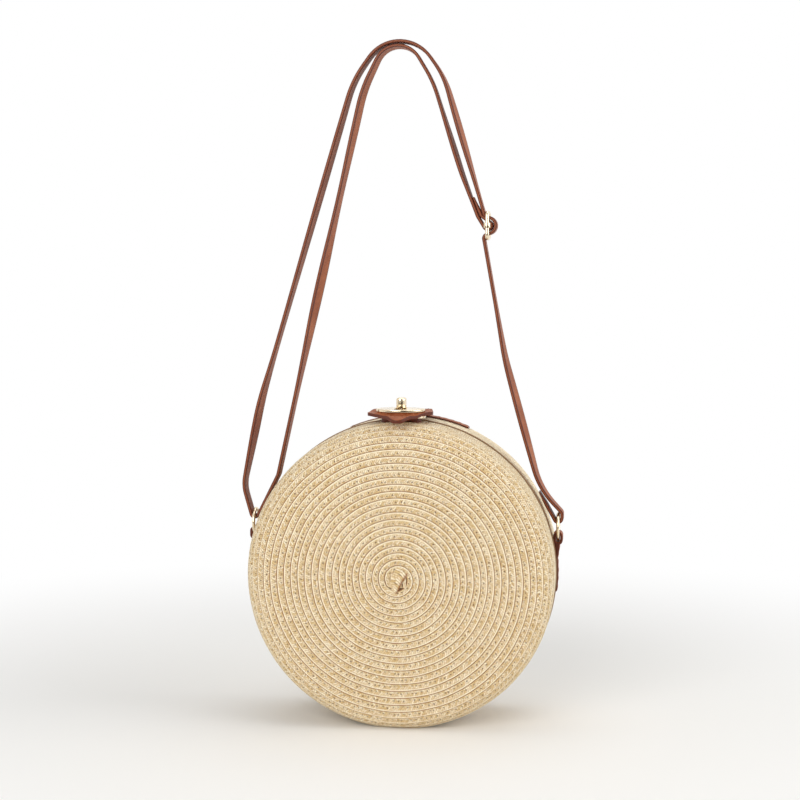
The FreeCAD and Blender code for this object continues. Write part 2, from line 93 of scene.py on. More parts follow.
# %% Node and colour helpers
def fill(node, links):
    """Fill a node's inputs, each with a socket to link or with a plain value."""
    for place, value in links.items():
        if isinstance(value, bpy.types.NodeSocket):
            node.id_data.links.new(value, node.inputs[place])
        else:
            node.inputs[place].default_value = value


def add_node(tree, kind, links=None, **settings):
    """Add one node: settings are its properties, and links fill its inputs with sockets or values."""
    node = tree.nodes.new(kind)
    for name, value in settings.items():
        setattr(node, name, value)
    fill(node, links or {})
    return node


def linear(hex_code):
    """Turn an sRGB hex code into a linear colour with alpha."""
    channels = [int(hex_code[i:i + 2], 16) / 255 for i in (1, 3, 5)]
    return [c / 12.92 if c <= 0.04045 else ((c + 0.055) / 1.055) ** 2.4 for c in channels] + [1.0]


def new_material(name):
    """A material whose tree holds its shader, its output and the place of each point, in metres."""
    material = bpy.data.materials.new(name)
    material.use_nodes = True
    tree = material.node_tree
    tree.nodes.clear()
    shader = add_node(tree, "ShaderNodeBsdfPrincipled")
    add_node(tree, "ShaderNodeOutputMaterial", {"Surface": shader.outputs[0]})
    place = add_node(tree, "ShaderNodeTexCoord").outputs["Object"]
    return material, tree, shader, place


print("middle grey in linear light:", round(linear("#808080")[0], 3))

# %% [markdown]
# ## Straw braid finish
# The cloth is paper straw plaited into a flat braid and sewn turn on turn. Each turn shows slanted
# strokes of straw, a row of needle holes and, at its outer edge, a smooth roll, tinted near white as a
# painted highlight. An image could not follow a spiral, so the pattern reads two attributes that the
# mesh carries: the distance along the braid, and the share of its width. In the tables, each row is one
# Math node: a name for its result, the operation, and what it works on.

# %% Needle holes
BRAID_PITCH = 4.25 * MM
NEEDLE_PITCH = 3.2 * MM
# Where the row runs, as a share of the braid's width, and how far the hand strays along and across it
NEEDLE_ROW = 0.42
ALONG_PLAY = 0.5
ROW_PLAY = 0.24
# Distance from the nearest hole. A sine and odd factors turn the hole's number into a scattered "luck"
NEEDLE_ROWS = [
    ("needle count", "DIVIDE", "along", NEEDLE_PITCH),
    ("needle id", "FLOOR", "needle count"),
    ("luck a", "MULTIPLY", "needle id", 1.7),
    ("luck b", "SINE", "luck a"),
    ("luck c", "MULTIPLY", "luck b", 9.1),
    ("luck", "FRACT", "luck c"),
    ("luck d", "MULTIPLY", "luck", 7.3),
    ("row luck", "FRACT", "luck d"),
    ("needle place", "MULTIPLY_ADD", "luck", ALONG_PLAY, (1 - ALONG_PLAY) / 2),
    ("needle part", "FRACT", "needle count"),
    ("needle side", "SUBTRACT", "needle part", "needle place"),
    ("needle x", "MULTIPLY", "needle side", NEEDLE_PITCH),
    ("row place", "MULTIPLY_ADD", "row luck", ROW_PLAY, NEEDLE_ROW - ROW_PLAY / 2),
    ("row side", "SUBTRACT", "across", "row place"),
    ("needle y", "MULTIPLY", "row side", BRAID_PITCH),
    ("xx", "MULTIPLY", "needle x", "needle x"),
    ("yy", "MULTIPLY", "needle y", "needle y"),
    ("rr", "ADD", "xx", "yy"),
    ("needle far", "SQRT", "rr"),
]
print("a needle hole about every", round(NEEDLE_PITCH / MM, 1), "mm")

# %% Strokes of straw
STROKE = 1.4 * MM
LANES = 2.6
SLANT = 0.9
LANE_STEP = 17.0
# The strokes slant to and fro from lane to lane across a turn, and each lane has straws of its own
STROKE_ROWS = [
    ("lane", "MULTIPLY", "across", LANES),
    ("chevron", "PINGPONG", "lane", 1.0),
    ("lean", "MULTIPLY", "chevron", SLANT),
    ("count", "DIVIDE", "along", STROKE),
    ("even phase", "ADD", "count", "lean"),
    ("phase", "ADD", "even phase", "wander"),
    ("stroke id", "FLOOR", "phase"),
    ("lane id", "FLOOR", "lane"),
    ("lane start", "MULTIPLY", "lane id", LANE_STEP),
    ("straw id", "ADD", "stroke id", "lane start"),
    ("in stroke", "FRACT", "phase"),
    ("from middle", "SUBTRACT", "in stroke", 0.5),
    ("rounded", "MULTIPLY", "from middle", "from middle"),
    ("straw top", "MULTIPLY_ADD", "rounded", -4.0, 1.0),
]
print("strokes", round(STROKE / MM, 1), "mm wide in", LANES, "lanes")

# %% Straw braid material
NEEDLE_HOLE = 0.58 * MM
# Masks, as smooth steps from 0 to 1: the roll at the outer edge, the crevice at the inner edge, the
# needle holes, the gaps between strokes, and the dark grain of the fibre
STRAW_MASKS = (
    ("roll", "across", 0.82, 0.89),
    ("crevice shade", "across", 0.20, 0.06),
    ("hole", "needle far", NEEDLE_HOLE * 1.15, NEEDLE_HOLE * 0.45),
    ("gap", "straw top", 0.85, 0.10),
    ("grain", "fibre", 0.54, 0.38),
)
# The roll is smooth, some holes are deeper than others, and the straws stand up a little
RELIEF_ROWS = (
    ("off roll", "MULTIPLY_ADD", "roll", -1.0, 1.0),
    # Painted shade where the rounded strokes dip between each other, kept off the roll
    ("gap shade", "MULTIPLY", "gap", "off roll"),
    ("hole depth", "MULTIPLY_ADD", "row luck", 0.6, 0.4),
    # Painted shade in the needle holes, darker where a hole is deeper
    ("hole shade", "MULTIPLY", "hole", "hole depth"),
    ("lift", "MULTIPLY", "straw top", "off roll"),
    ("height", "MULTIPLY_ADD", "fibre", 0.35, "lift"),
)
# Tints laid one over the other, each by a share of its mask
STRAW_TINTS = (
    # Painted shade between the strokes
    ("gap shade", 0.70, "#9E6C2E"),
    ("grain", 0.45, "#AC7A34"),
    # Painted highlight: the smooth roll at the outer edge is tinted near white where it catches light
    ("roll", 0.85, "#FDF2D6"),
    ("patch", 0.14, "#C9A066"),
    ("fibre", 0.14, "#FBF1D8"),
    # Painted shade: the crevice under the lap of each turn is darkened in the colour
    ("crevice shade", 0.85, "#8A4E14"),
    # Painted shade in the needle holes
    ("hole shade", 0.95, "#502806"),
)


def straw_material():
    """Natural paper straw, plaited and sewn: matt, with a faint sheen and strokes in several tones."""
    material, tree, shader, place = new_material("sewn natural straw braid")
    values = {}
    for name in ("along", "across"):
        values[name] = add_node(tree, "ShaderNodeAttribute", attribute_name="braid_" + name).outputs["Fac"]
    # Noises by size: how far the strokes wander, the fibre, and patches that have aged
    for name, size, detail in (("wander", 5 * MM, 1.0), ("fibre", 0.9 * MM, 2.0), ("patch", 38 * MM, 3.0)):
        values[name] = add_node(tree, "ShaderNodeTexNoise", {
            "Vector": place, "Scale": 1 / size, "Detail": detail}).outputs["Fac"]
    for result, operation, *terms in STROKE_ROWS + NEEDLE_ROWS:
        links = {index: values.get(term, term) for index, term in enumerate(terms)}
        values[result] = add_node(tree, "ShaderNodeMath", links, operation=operation).outputs[0]
    for name, source, low, high in STRAW_MASKS:
        values[name] = add_node(
            tree, "ShaderNodeMapRange", {"Value": values[source], "From Min": low, "From Max": high},
            interpolation_type="SMOOTHSTEP").outputs[0]
    for result, operation, *terms in RELIEF_ROWS:
        links = {index: values.get(term, term) for index, term in enumerate(terms)}
        values[result] = add_node(tree, "ShaderNodeMath", links, operation=operation).outputs[0]
    tone = add_node(tree, "ShaderNodeTexWhiteNoise", {"W": values["straw id"]}, noise_dimensions="1D")
    colour = add_node(tree, "ShaderNodeMix", {
        0: tone.outputs["Value"], 6: linear("#DDC087"), 7: linear("#FFF6DB")}, data_type="RGBA").outputs[2]
    for mask, share, tint in STRAW_TINTS:
        amount = add_node(tree, "ShaderNodeMath", {0: values[mask], 1: share}, operation="MULTIPLY")
        colour = add_node(tree, "ShaderNodeMix", {
            0: amount.outputs[0], 6: colour, 7: linear(tint)}, data_type="RGBA").outputs[2]
    bump = add_node(tree, "ShaderNodeBump", {
        "Height": values["height"], "Strength": 0.7, "Distance": 0.28 * MM})
    fill(shader, {
        "Base Color": colour, "Normal": bump.outputs[0], "Roughness": 0.62, "IOR": 1.46,
        "Specular IOR Level": 0.35, "Sheen Weight": 0.08, "Sheen Roughness": 0.5})
    return material


STRAW = straw_material()
print("made", STRAW.name)

# %% [markdown]
# ## Leather finish
# The strap and tabs are split leather with a smooth brown coat. The cut edges are painted darker and
# glossier, and a worn face is a little lighter. A second material could paint the edges, but it would
# stop at a hard line, so the mesh says where an edge is, in one attribute that the finish reads.


# %% Leather materials
def leather_material(name, face, worn, edge, grain):
    """Coated split leather: a low gloss, fine pebbled grain, and painted edges that shine more."""
    material, tree, shader, place = new_material(name)
    rim = add_node(tree, "ShaderNodeAttribute", attribute_name="leather_edge").outputs["Fac"]
    cloud = add_node(tree, "ShaderNodeTexNoise", {"Vector": place, "Scale": 1 / (14 * MM), "Detail": 4.0})
    pebble = add_node(tree, "ShaderNodeTexVoronoi", {"Vector": place, "Scale": 1 / grain})
    fine = add_node(tree, "ShaderNodeTexNoise", {"Vector": place, "Scale": 1 / (0.35 * MM), "Detail": 3.0})
    spread = add_node(tree, "ShaderNodeMapRange", {
        "Value": cloud.outputs["Fac"], "From Min": 0.35, "From Max": 0.68})
    coat = add_node(tree, "ShaderNodeMix", {
        0: spread.outputs[0], 6: linear(face), 7: linear(worn)}, data_type="RGBA")
    painted = add_node(tree, "ShaderNodeMix", {
        0: rim, 6: coat.outputs[2], 7: linear(edge)}, data_type="RGBA")
    gloss = add_node(tree, "ShaderNodeMapRange", {"Value": rim, "To Min": 0.52, "To Max": 0.36})
    height = add_node(tree, "ShaderNodeMath", {
        0: pebble.outputs["Distance"], 1: 0.7, 2: fine.outputs["Fac"]}, operation="MULTIPLY_ADD")
    strength = add_node(tree, "ShaderNodeMapRange", {"Value": rim, "To Min": 0.35, "To Max": 0.08})
    bump = add_node(tree, "ShaderNodeBump", {
        "Height": height.outputs[0], "Strength": strength.outputs[0], "Distance": 0.12 * MM})
    fill(shader, {
        "Base Color": painted.outputs[2], "Roughness": gloss.outputs[0], "Normal": bump.outputs[0],
        "IOR": 1.5, "Specular IOR Level": 0.3})
    return material


LEATHER = leather_material("brown coated leather, painted edges", "#8E4A26", "#A65F38", "#5C2712", 0.8 * MM)
BINDING = leather_material("thin folded binding leather", "#9A7750", "#A98660", "#8A6640", 0.6 * MM)
print("made", LEATHER.name, "and", BINDING.name)

# %% [markdown]
# ## Metal, lining and thread
# The lock, rings and slider are zinc castings and wire, plated pale gold and polished: a metal with a
# low roughness that changes a little from handling. The lining is plain woven cotton, and the thread is
# waxed polyester. A weave and a twist are waves at a real spacing, so wave textures draw both.


# %% Metal material
def metal_material():
    """Pale gold plate on polished metal: bright reflections, blurred here and there by handling."""
    material, tree, shader, place = new_material("polished pale gold plate")
    smear = add_node(tree, "ShaderNodeTexNoise", {"Vector": place, "Scale": 1 / (5 * MM), "Detail": 4.0})
    rough = add_node(tree, "ShaderNodeMapRange", {
        "Value": smear.outputs["Fac"], "To Min": 0.10, "To Max": 0.26})
    fill(shader, {"Base Color": linear("#F1E0C1"), "Metallic": 1.0, "Roughness": rough.outputs[0]})
    return material


METAL = metal_material()
print("made", METAL.name)

# %% Cloth and thread materials
# A wave texture of scale 1 repeats after this length
WAVE_LENGTH = math.pi / 10
COTTON_THREAD = 0.8 * MM
THREAD_PLY = 0.35 * MM


def cotton_material(name, wound):
    """Plain woven cotton: crossing threads, drawn coarser than the real 0.4 mm so that they show."""
    material, tree, shader, place = new_material(name)
    spot = add_node(tree, "ShaderNodeSeparateXYZ", {0: place}).outputs
    ways = [spot["X"], spot["Z"]]
    if wound:
        # A strip laid round the drum: its threads run round the axis and along it
        level = add_node(tree, "ShaderNodeMath", {0: spot["Z"], 1: CENTRE_Z}, operation="SUBTRACT")
        flat = add_node(tree, "ShaderNodeCombineXYZ", {"X": spot["X"], "Y": level.outputs[0]})
        turn = add_node(tree, "ShaderNodeTexGradient", {"Vector": flat.outputs[0]}, gradient_type="RADIAL")
        girth = add_node(tree, "ShaderNodeMath", {
            0: turn.outputs["Fac"], 1: 2 * math.pi * DRUM_RADIUS}, operation="MULTIPLY")
        ways = [girth.outputs[0], spot["Y"]]
    threads = []
    for way in ways:
        line = add_node(tree, "ShaderNodeCombineXYZ", {"X": way})
        wave = add_node(tree, "ShaderNodeTexWave", {
            "Vector": line.outputs[0], "Scale": WAVE_LENGTH / COTTON_THREAD, "Distortion": 0.6,
            "Detail": 1.0}, bands_direction="X")
        threads.append(wave.outputs["Fac"])
    weave = add_node(tree, "ShaderNodeMath", dict(enumerate(threads)), operation="MULTIPLY").outputs[0]
    cloud = add_node(tree, "ShaderNodeTexNoise", {"Vector": place, "Scale": 1 / (25 * MM), "Detail": 3.0})
    pale = add_node(tree, "ShaderNodeMix", {
        0: cloud.outputs["Fac"], 6: linear("#D9CBB0"), 7: linear("#E8DEC8")}, data_type="RGBA")
    colour = add_node(tree, "ShaderNodeMix", {
        0: weave, 6: linear("#C7B797"), 7: pale.outputs[2]}, data_type="RGBA")
    bump = add_node(tree, "ShaderNodeBump", {"Height": weave, "Strength": 0.4, "Distance": 0.15 * MM})
    fill(shader, {
        "Base Color": colour.outputs[2], "Normal": bump.outputs[0], "Roughness": 0.85, "Sheen Weight": 0.15})
    return material


def thread_material():
    """Waxed polyester thread: fine diagonal plies and a slight shine."""
    material, tree, shader, place = new_material("waxed brown thread")
    ply = add_node(tree, "ShaderNodeTexWave", {
        "Vector": place, "Scale": WAVE_LENGTH / THREAD_PLY, "Distortion": 1.0}, bands_direction="DIAGONAL")
    colour = add_node(tree, "ShaderNodeMix", {
        0: ply.outputs["Fac"], 6: linear("#8A5030"), 7: linear("#B57A55")}, data_type="RGBA")
    fill(shader, {"Base Color": colour.outputs[2], "Roughness": 0.5})
    return material


COTTON = cotton_material("plain woven cotton lining", wound=False)
COTTON_STRIP = cotton_material("plain woven cotton strip", wound=True)
THREAD = thread_material()
print("made", COTTON.name, COTTON_STRIP.name, THREAD.name)

# %% [markdown]
# ## The braid as a rule
# One braid runs in a spiral from the middle of a face, over the rim and along the band to the mouth.
# Its place is a rule, so Geometry Nodes make it: a grid gives the distance along the braid and the way
# round its section, and a chain of sums turns these into a point. Each turn laps over the next one, so
# the section is a sawtooth with a roll at its outer edge, closed underneath.

# %% Section of the braid
# Share of the pitch, and height over the drum's surface in millimetres, once round the section
BRAID_SECTION = (
    (-0.10, -1.30), (0.02, -1.00), (0.08, -0.70), (0.18, -0.50), (0.34, -0.43), (0.52, -0.40),
    (0.72, -0.40), (0.82, -0.27), (0.88, -0.04), (0.94, -0.04), (1.00, -0.30), (1.02, -0.85),
    (0.98, -1.50), (0.50, -1.75), (0.00, -1.75), (-0.10, -1.30),
)
print("braid section of", len(BRAID_SECTION) - 1, "sides")

# %% Sums of the spiral
# From the grid to the turn, and to the distance from the middle, which settles to an even pitch
TURN_ROWS = [
    ("grid run", "ADD", "grid x", 0.5),
    ("crowded", "POWER", "grid run", "Crowding"),
    ("turn span", "SUBTRACT", "To turn", "From turn"),
    ("turn", "MULTIPLY_ADD", "turn span", "crowded", "From turn"),
    ("angle", "MULTIPLY", "turn", -2 * math.pi),
    ("cos", "COSINE", "angle"),
    ("sin", "SINE", "angle"),
    ("turn squared", "MULTIPLY", "turn", "turn"),
    ("run a", "MULTIPLY", "turn", "Run per turn"),
    ("along", "MULTIPLY_ADD", "turn squared", "Run growth", "run a"),
    ("turn here", "ADD", "turn", "across"),
    ("settling", "DIVIDE", "turn here", "Settle"),
    ("unsettled", "MULTIPLY", "settling", -1.0),
    ("fade", "EXPONENT", "unsettled"),
    ("settled", "SUBTRACT", 1.0, "fade"),
    ("pitch gain", "SUBTRACT", "Pitch", "First pitch"),
    ("lost", "MULTIPLY", "pitch gain", "Settle"),
    ("lost here", "MULTIPLY", "lost", "settled"),
    ("reach a", "MULTIPLY_ADD", "turn here", "Pitch", "Start"),
    ("plain reach", "SUBTRACT", "reach a", "lost here"),
    ("noise x", "MULTIPLY", "plain reach", "cos"),
    ("noise y", "MULTIPLY", "plain reach", "sin"),
]
# A needle draws the straw in, and the hand leaves it a little thick or thin
DENT_REACH = 0.9 * MM
DENT_DEPTH = 0.3 * MM
SWELL = 0.35 * MM
SINK = 0.12 * MM
# From that distance, over the rim and along the band, to a point
POINT_ROWS = [
    ("waver a", "SUBTRACT", "noise", 0.5),
    ("waver b", "MULTIPLY", "waver a", "Waver"),
    ("wavering", "ADD", "plain reach", "waver b"),
    ("reach", "MINIMUM", "wavering", "Mouth reach"),
    ("past flat", "SUBTRACT", "reach", "Flat radius"),
    ("bend a", "DIVIDE", "past flat", "Rim"),
    ("bend b", "MAXIMUM", "bend a", 0.0),
    ("bend", "MINIMUM", "bend b", math.pi / 2),
    ("bend sin", "SINE", "bend"),
    ("bend cos", "COSINE", "bend"),
    ("flat part", "MINIMUM", "reach", "Flat radius"),
    ("radius", "MULTIPLY_ADD", "Rim", "bend sin", "flat part"),
    ("rim end", "MULTIPLY_ADD", "Rim", math.pi / 2, "Flat radius"),
    ("past rim", "SUBTRACT", "reach", "rim end"),
    ("on band", "MAXIMUM", "past rim", 0.0),
    ("drop", "SUBTRACT", 1.0, "bend cos"),
    ("depth a", "MULTIPLY_ADD", "Rim", "drop", "Face"),
    ("depth", "ADD", "depth a", "on band"),
    ("dent a", "MULTIPLY_ADD", "needle far", -1 / DENT_REACH, 1.0),
    ("dent b", "MAXIMUM", "dent a", 0.0),
    ("dent", "MULTIPLY", "dent b", DENT_DEPTH),
    ("swell", "MULTIPLY_ADD", "waver a", SWELL, -SINK),
    ("height a", "MULTIPLY_ADD", "section height", MM, "swell"),
    ("height b", "SUBTRACT", "height a", "dent"),
    ("height", "MINIMUM", "height b", 0.0),
    ("far out", "MULTIPLY_ADD", "height", "bend sin", "radius"),
    ("x a", "MULTIPLY", "far out", "cos"),
    ("x", "MULTIPLY", "x a", "Side"),
    ("lowered", "MULTIPLY", "height", "bend cos"),
    ("y a", "SUBTRACT", "depth", "lowered"),
    ("y", "MULTIPLY", "y a", "Side"),
    ("z a", "MULTIPLY_ADD", "far out", "sin", "Centre height"),
    ("z", "MAXIMUM", "z a", 0.0),
]
print("sums for a point of the braid:", len(TURN_ROWS + NEEDLE_ROWS + POINT_ROWS))

# %% Spiral tree
WAVER_LENGTH = 26 * MM
WELD = 0.002 * MM


def spiral_tree():
    """Tree for a stretch of the spiral braid, between two counts of turns."""
    tree = bpy.data.node_groups.new("spiral straw braid", "GeometryNodeTree")
    inputs = (
        "From turn", "To turn", "Steps along", "Crowding", "Start", "First pitch", "Pitch", "Settle",
        "Flat radius", "Rim", "Face", "Side", "Mouth reach", "Centre height", "Run per turn", "Run growth",
        "Waver", "Seed", "Straw",
    )
    kinds = {"Steps along": "Int", "Straw": "Material"}
    for name in inputs:
        tree.interface.new_socket(
            name, in_out="INPUT", socket_type="NodeSocket" + kinds.get(name, "Float"))
    tree.interface.new_socket("Braid", in_out="OUTPUT", socket_type="NodeSocketGeometry")
    given = add_node(tree, "NodeGroupInput").outputs
    grid = add_node(tree, "GeometryNodeMeshGrid", {
        "Size X": 1.0, "Size Y": 1.0, "Vertices X": given["Steps along"], "Vertices Y": len(BRAID_SECTION)})
    place = add_node(tree, "GeometryNodeInputPosition").outputs[0]
    spot = add_node(tree, "ShaderNodeSeparateXYZ", {0: place}).outputs
    values = {name: given[name] for name in inputs}
    values["grid x"] = spot["X"]
    round_section = add_node(tree, "ShaderNodeMath", {0: spot["Y"], 1: 0.5}, operation="ADD").outputs[0]
    last = len(BRAID_SECTION) - 1
    for column, name in enumerate(("across", "section height")):
        curve = add_node(tree, "ShaderNodeFloatCurve", {"Value": round_section})
        points = curve.mapping.curves[0].points
        points[0].location = (0, BRAID_SECTION[0][column])
        points[1].location = (1, BRAID_SECTION[last][column])
        for index in range(1, last):
            points.new(index / last, BRAID_SECTION[index][column])
        for point in points:
            point.handle_type = "VECTOR"
        curve.mapping.use_clip = False
        curve.mapping.update()
        values[name] = curve.outputs[0]
    for result, operation, *terms in TURN_ROWS:
        links = {index: values.get(term, term) for index, term in enumerate(terms)}
        values[result] = add_node(tree, "ShaderNodeMath", links, operation=operation).outputs[0]
    noise_at = add_node(tree, "ShaderNodeCombineXYZ", {
        "X": values["noise x"], "Y": values["noise y"], "Z": values["Seed"]})
    values["noise"] = add_node(tree, "ShaderNodeTexNoise", {
        "Vector": noise_at.outputs[0], "Scale": 1 / WAVER_LENGTH, "Detail": 2.0}).outputs["Fac"]
    for result, operation, *terms in NEEDLE_ROWS + POINT_ROWS:
        links = {index: values.get(term, term) for index, term in enumerate(terms)}
        values[result] = add_node(tree, "ShaderNodeMath", links, operation=operation).outputs[0]
    shape = grid.outputs["Mesh"]
    for name in ("along", "across"):
        shape = add_node(tree, "GeometryNodeStoreNamedAttribute", {
            "Geometry": shape, "Name": "braid_" + name, "Value": values[name]},
            data_type="FLOAT", domain="POINT").outputs[0]
    point = add_node(tree, "ShaderNodeCombineXYZ", {axis.upper(): values[axis] for axis in "xyz"})
    for kind, links in (
        ("SetPosition", {"Position": point.outputs[0]}),
        ("MergeByDistance", {"Distance": WELD}),
        ("SetShadeSmooth", {}),
        ("RealizeInstances", {}),
        ("SetMaterial", {"Material": given["Straw"]}),
    ):
        shape = add_node(tree, "GeometryNode" + kind, dict(links, Geometry=shape)).outputs[0]
    add_node(tree, "NodeGroupOutput", {0: shape})
    return tree


SPIRAL = spiral_tree()
print("spiral tree with", len(SPIRAL.nodes), "nodes")


# %% Run a tree
def link_object(name, mesh):
    """Put a mesh into the scene as an object at the origin."""
    piece = bpy.data.objects.new(name, mesh)
    scene.collection.objects.link(piece)
    return piece


def grow(name, tree, settings, base=None):
    """Run a tree with named settings and keep the result as a plain mesh."""
    piece = link_object(name, base or bpy.data.meshes.new(name))
    modifier = piece.modifiers.new("shape", "NODES")
    modifier.node_group = tree
    for item in tree.interface.items_tree:
        if item.in_out == "INPUT" and item.name in settings:
            modifier[item.identifier] = settings[item.name]
    view = bpy.context.evaluated_depsgraph_get()
    mesh = bpy.data.meshes.new_from_object(
        piece.evaluated_get(view), preserve_all_data_layers=True, depsgraph=view)
    piece.modifiers.remove(modifier)
    piece.data = mesh
    mesh.name = name
    triangles = sum(len(face.vertices) - 2 for face in mesh.polygons)
    print(name, triangles, "triangles")
    return piece


# %% [markdown]
# ## The two straw halves
# Each half is one braid, cut in two pieces where it passes the rim: the face rides its half rigidly,
# and the band is a piece of its own. The rear half is the front one turned half round the upright
# axis, so one tree makes both, with a side of 1 or -1 and a seed of its own.

# %% Braid of both halves
HALVES = (("front", 1.0), ("rear", -1.0))
SPIRAL_START = 2.4 * MM
FIRST_PITCH = 3.2 * MM
SETTLE_TURNS = 3.0
PITCH_LOSS = (BRAID_PITCH - FIRST_PITCH) * SETTLE_TURNS
FACE_TURNS = 23.0
FACE_STEPS = 6000
BAND_STEPS_PER_TURN = 400
SHARED = {
    "Start": SPIRAL_START, "First pitch": FIRST_PITCH, "Pitch": BRAID_PITCH, "Settle": SETTLE_TURNS,
    "Flat radius": FLAT_RADIUS, "Rim": RIM, "Face": FRONT_FACE, "Centre height": CENTRE_Z,
    "Waver": 0.9 * MM, "Straw": STRAW,
}
braid = {}
for seed, (half, side) in enumerate(HALVES):
    mouth_reach = RIM_END + MOUTH_EDGE[half] - (FRONT_FACE + RIM)
    last_turn = (mouth_reach - SPIRAL_START + PITCH_LOSS) / BRAID_PITCH
    half_settings = dict(SHARED, Side=side, Seed=float(seed), **{"Mouth reach": mouth_reach})
    # On a face the steps crowd towards the outside, where a turn is longer
    braid[half, "face"] = grow(half + "_face_braid", SPIRAL, dict(half_settings, **{
        "From turn": 0.0, "To turn": FACE_TURNS, "Steps along": FACE_STEPS, "Crowding": 0.5,
        "Run per turn": 2 * math.pi * SPIRAL_START, "Run growth": math.pi * BRAID_PITCH}))
    band_steps = int(BAND_STEPS_PER_TURN * (last_turn - FACE_TURNS))
    braid[half, "band"] = grow(half + "_band_braid", SPIRAL, dict(half_settings, **{
        "From turn": FACE_TURNS, "To turn": last_turn, "Steps along": band_steps, "Crowding": 1.0,
        "Run per turn": 2 * math.pi * DRUM_RADIUS, "Run growth": 0.0}))

# %% [markdown]
# ## Sweeping a section
# A strap, a binding and a folded straw end are all one section carried along a line. A curve with a
# bevel could do it, but here each step has its own two axes, so a strap can twist, and every vertex
# keeps what its finish reads: its share across the section and, for straw, how far along it lies.

# %% Sweep helper
SWEEP_CREASE = math.radians(50)


def rounded_section(width, thickness, corner, steps=3):
    """Points (u, v, share) round a flat bar: the share is 1 on its narrow sides and 0 on its faces."""
    points = []
    for quarter, (su, sv) in enumerate(((1, 1), (-1, 1), (-1, -1), (1, -1))):
        for step in range(steps + 1):
            angle = (quarter + step / steps) * math.pi / 2
            u = su * (width / 2 - corner) + corner * math.cos(angle)
            v = sv * (thickness / 2 - corner) + corner * math.sin(angle)
            points.append((u, v, 1.0 if abs(u) > width / 2 - 0.8 * corner else 0.0))
    return points


def store(mesh, name, values):
    """Keep one number for each vertex, for a material to read."""
    mesh.attributes.new(name, "FLOAT", "POINT").data.foreach_set("value", values)


def sweep(name, places, section, material, closed=False, share_name="leather_edge", along_name=None):
    """Skin a section of (u, v, share) along places of (point, u axis, v axis)."""
    sides = len(section)
    points, shares, runs = [], [], []
    run = 0.0
    for index, (point, u_axis, v_axis) in enumerate(places):
        run += (point - places[index - 1][0]).length if index else 0.0
        for u, v, share in section:
            spot = point + u_axis * u + v_axis * v
            points.append((spot.x, spot.y, max(spot.z, 0.0)))
            shares.append(share)
            runs.append(run)
    faces = []
    for ring in range(len(places) if closed else len(places) - 1):
        here = ring * sides
        there = (ring + 1) % len(places) * sides
        for side in range(sides):
            other = (side + 1) % sides
            faces.append((here + side, here + other, there + other, there + side))
    if not closed:
        faces.append(tuple(range(sides)))
        faces.append(tuple(range(len(points) - sides, len(points))))
    mesh = bpy.data.meshes.new(name)
    mesh.from_pydata(points, [], faces)
    store(mesh, share_name, shares)
    if along_name:
        store(mesh, along_name, runs)
    shell = bmesh.new()
    shell.from_mesh(mesh)
    bmesh.ops.recalc_face_normals(shell, faces=shell.faces)
    shell.to_mesh(mesh)
    shell.free()
    mesh.shade_smooth()
    mesh.set_sharp_from_angle(angle=SWEEP_CREASE)
    mesh.materials.append(material)
    print(name, len(faces), "faces,", round(run / MM), "mm long")
    return link_object(name, mesh)


print("a rounded bar has", len(rounded_section(10 * MM, 2 * MM, 0.5 * MM)), "points round its section")

# %% [markdown]
# ## The folded start of the braid
# In the middle of each face the braid starts as a flattened end, folded over on itself. Two short
# strips, one over the other on a base, close the hole and give the little step that the eye finds there.

# %% Centre folds
FOLD_STEPS = 12
FOLD_THICKNESS = 1.3 * MM
FOLD_CORNER = 0.6 * MM
# Place of both ends from the middle, width, how deep each end lies under the face, and the arch between
FOLD_STRIPS = (
    ("base", (-5.2, 0.0), (5.2, 0.0), 10.4, (1.3, 1.3), 0.0),
    ("lower", (0.8, 1.5), (-3.4, -7.6), 6.8, (0.8, 1.0), 0.7),
    ("upper", (3.8, 6.4), (-0.4, 0.0), 7.8, (1.5, 0.1), 0.5),
)
folds = {}
for half, side in HALVES:
    folds[half] = []
    for strip, start, end, width, depths, arch in FOLD_STRIPS:
        first, last = (
            Vector((x * side * MM, side * (FRONT_FACE + depth * MM), CENTRE_Z + z * MM))
            for (x, z), depth in zip((start, end), depths))
        outward = Vector((0, -side, 0))
        across = (last - first).cross(outward).normalized()
        places = []
        for step in range(FOLD_STEPS + 1):
            share = step / FOLD_STEPS
            rise = outward * (arch * MM * math.sin(math.pi * share))
            places.append((first.lerp(last, share) + rise, across, outward))
        # The share across stops short of the bright roll, which the folded end doesn't have, and starts
        # in the crevice, so one long edge of each strip takes its painted shade
        section = [(u, v, 0.05 + 0.6 * (u / (width * MM) + 0.5)) for u, v, _ in
                   rounded_section(width * MM, FOLD_THICKNESS, FOLD_CORNER, steps=4)]
        folds[half].append(sweep(
            half + "_fold_" + strip, places, section, STRAW,
            share_name="braid_across", along_name="braid_along"))

# %% [markdown]
# ## Mouth bindings and lining
# A narrow leather strip is folded over the straw at the mouth of each half and sewn down. Inside, a
# round of cotton and a strip of cotton make the lining, which puckers a little at its seam. Cloth could
# be simulated, but a lining that is sewn in tight hardly moves, so a few waves give its puckers.

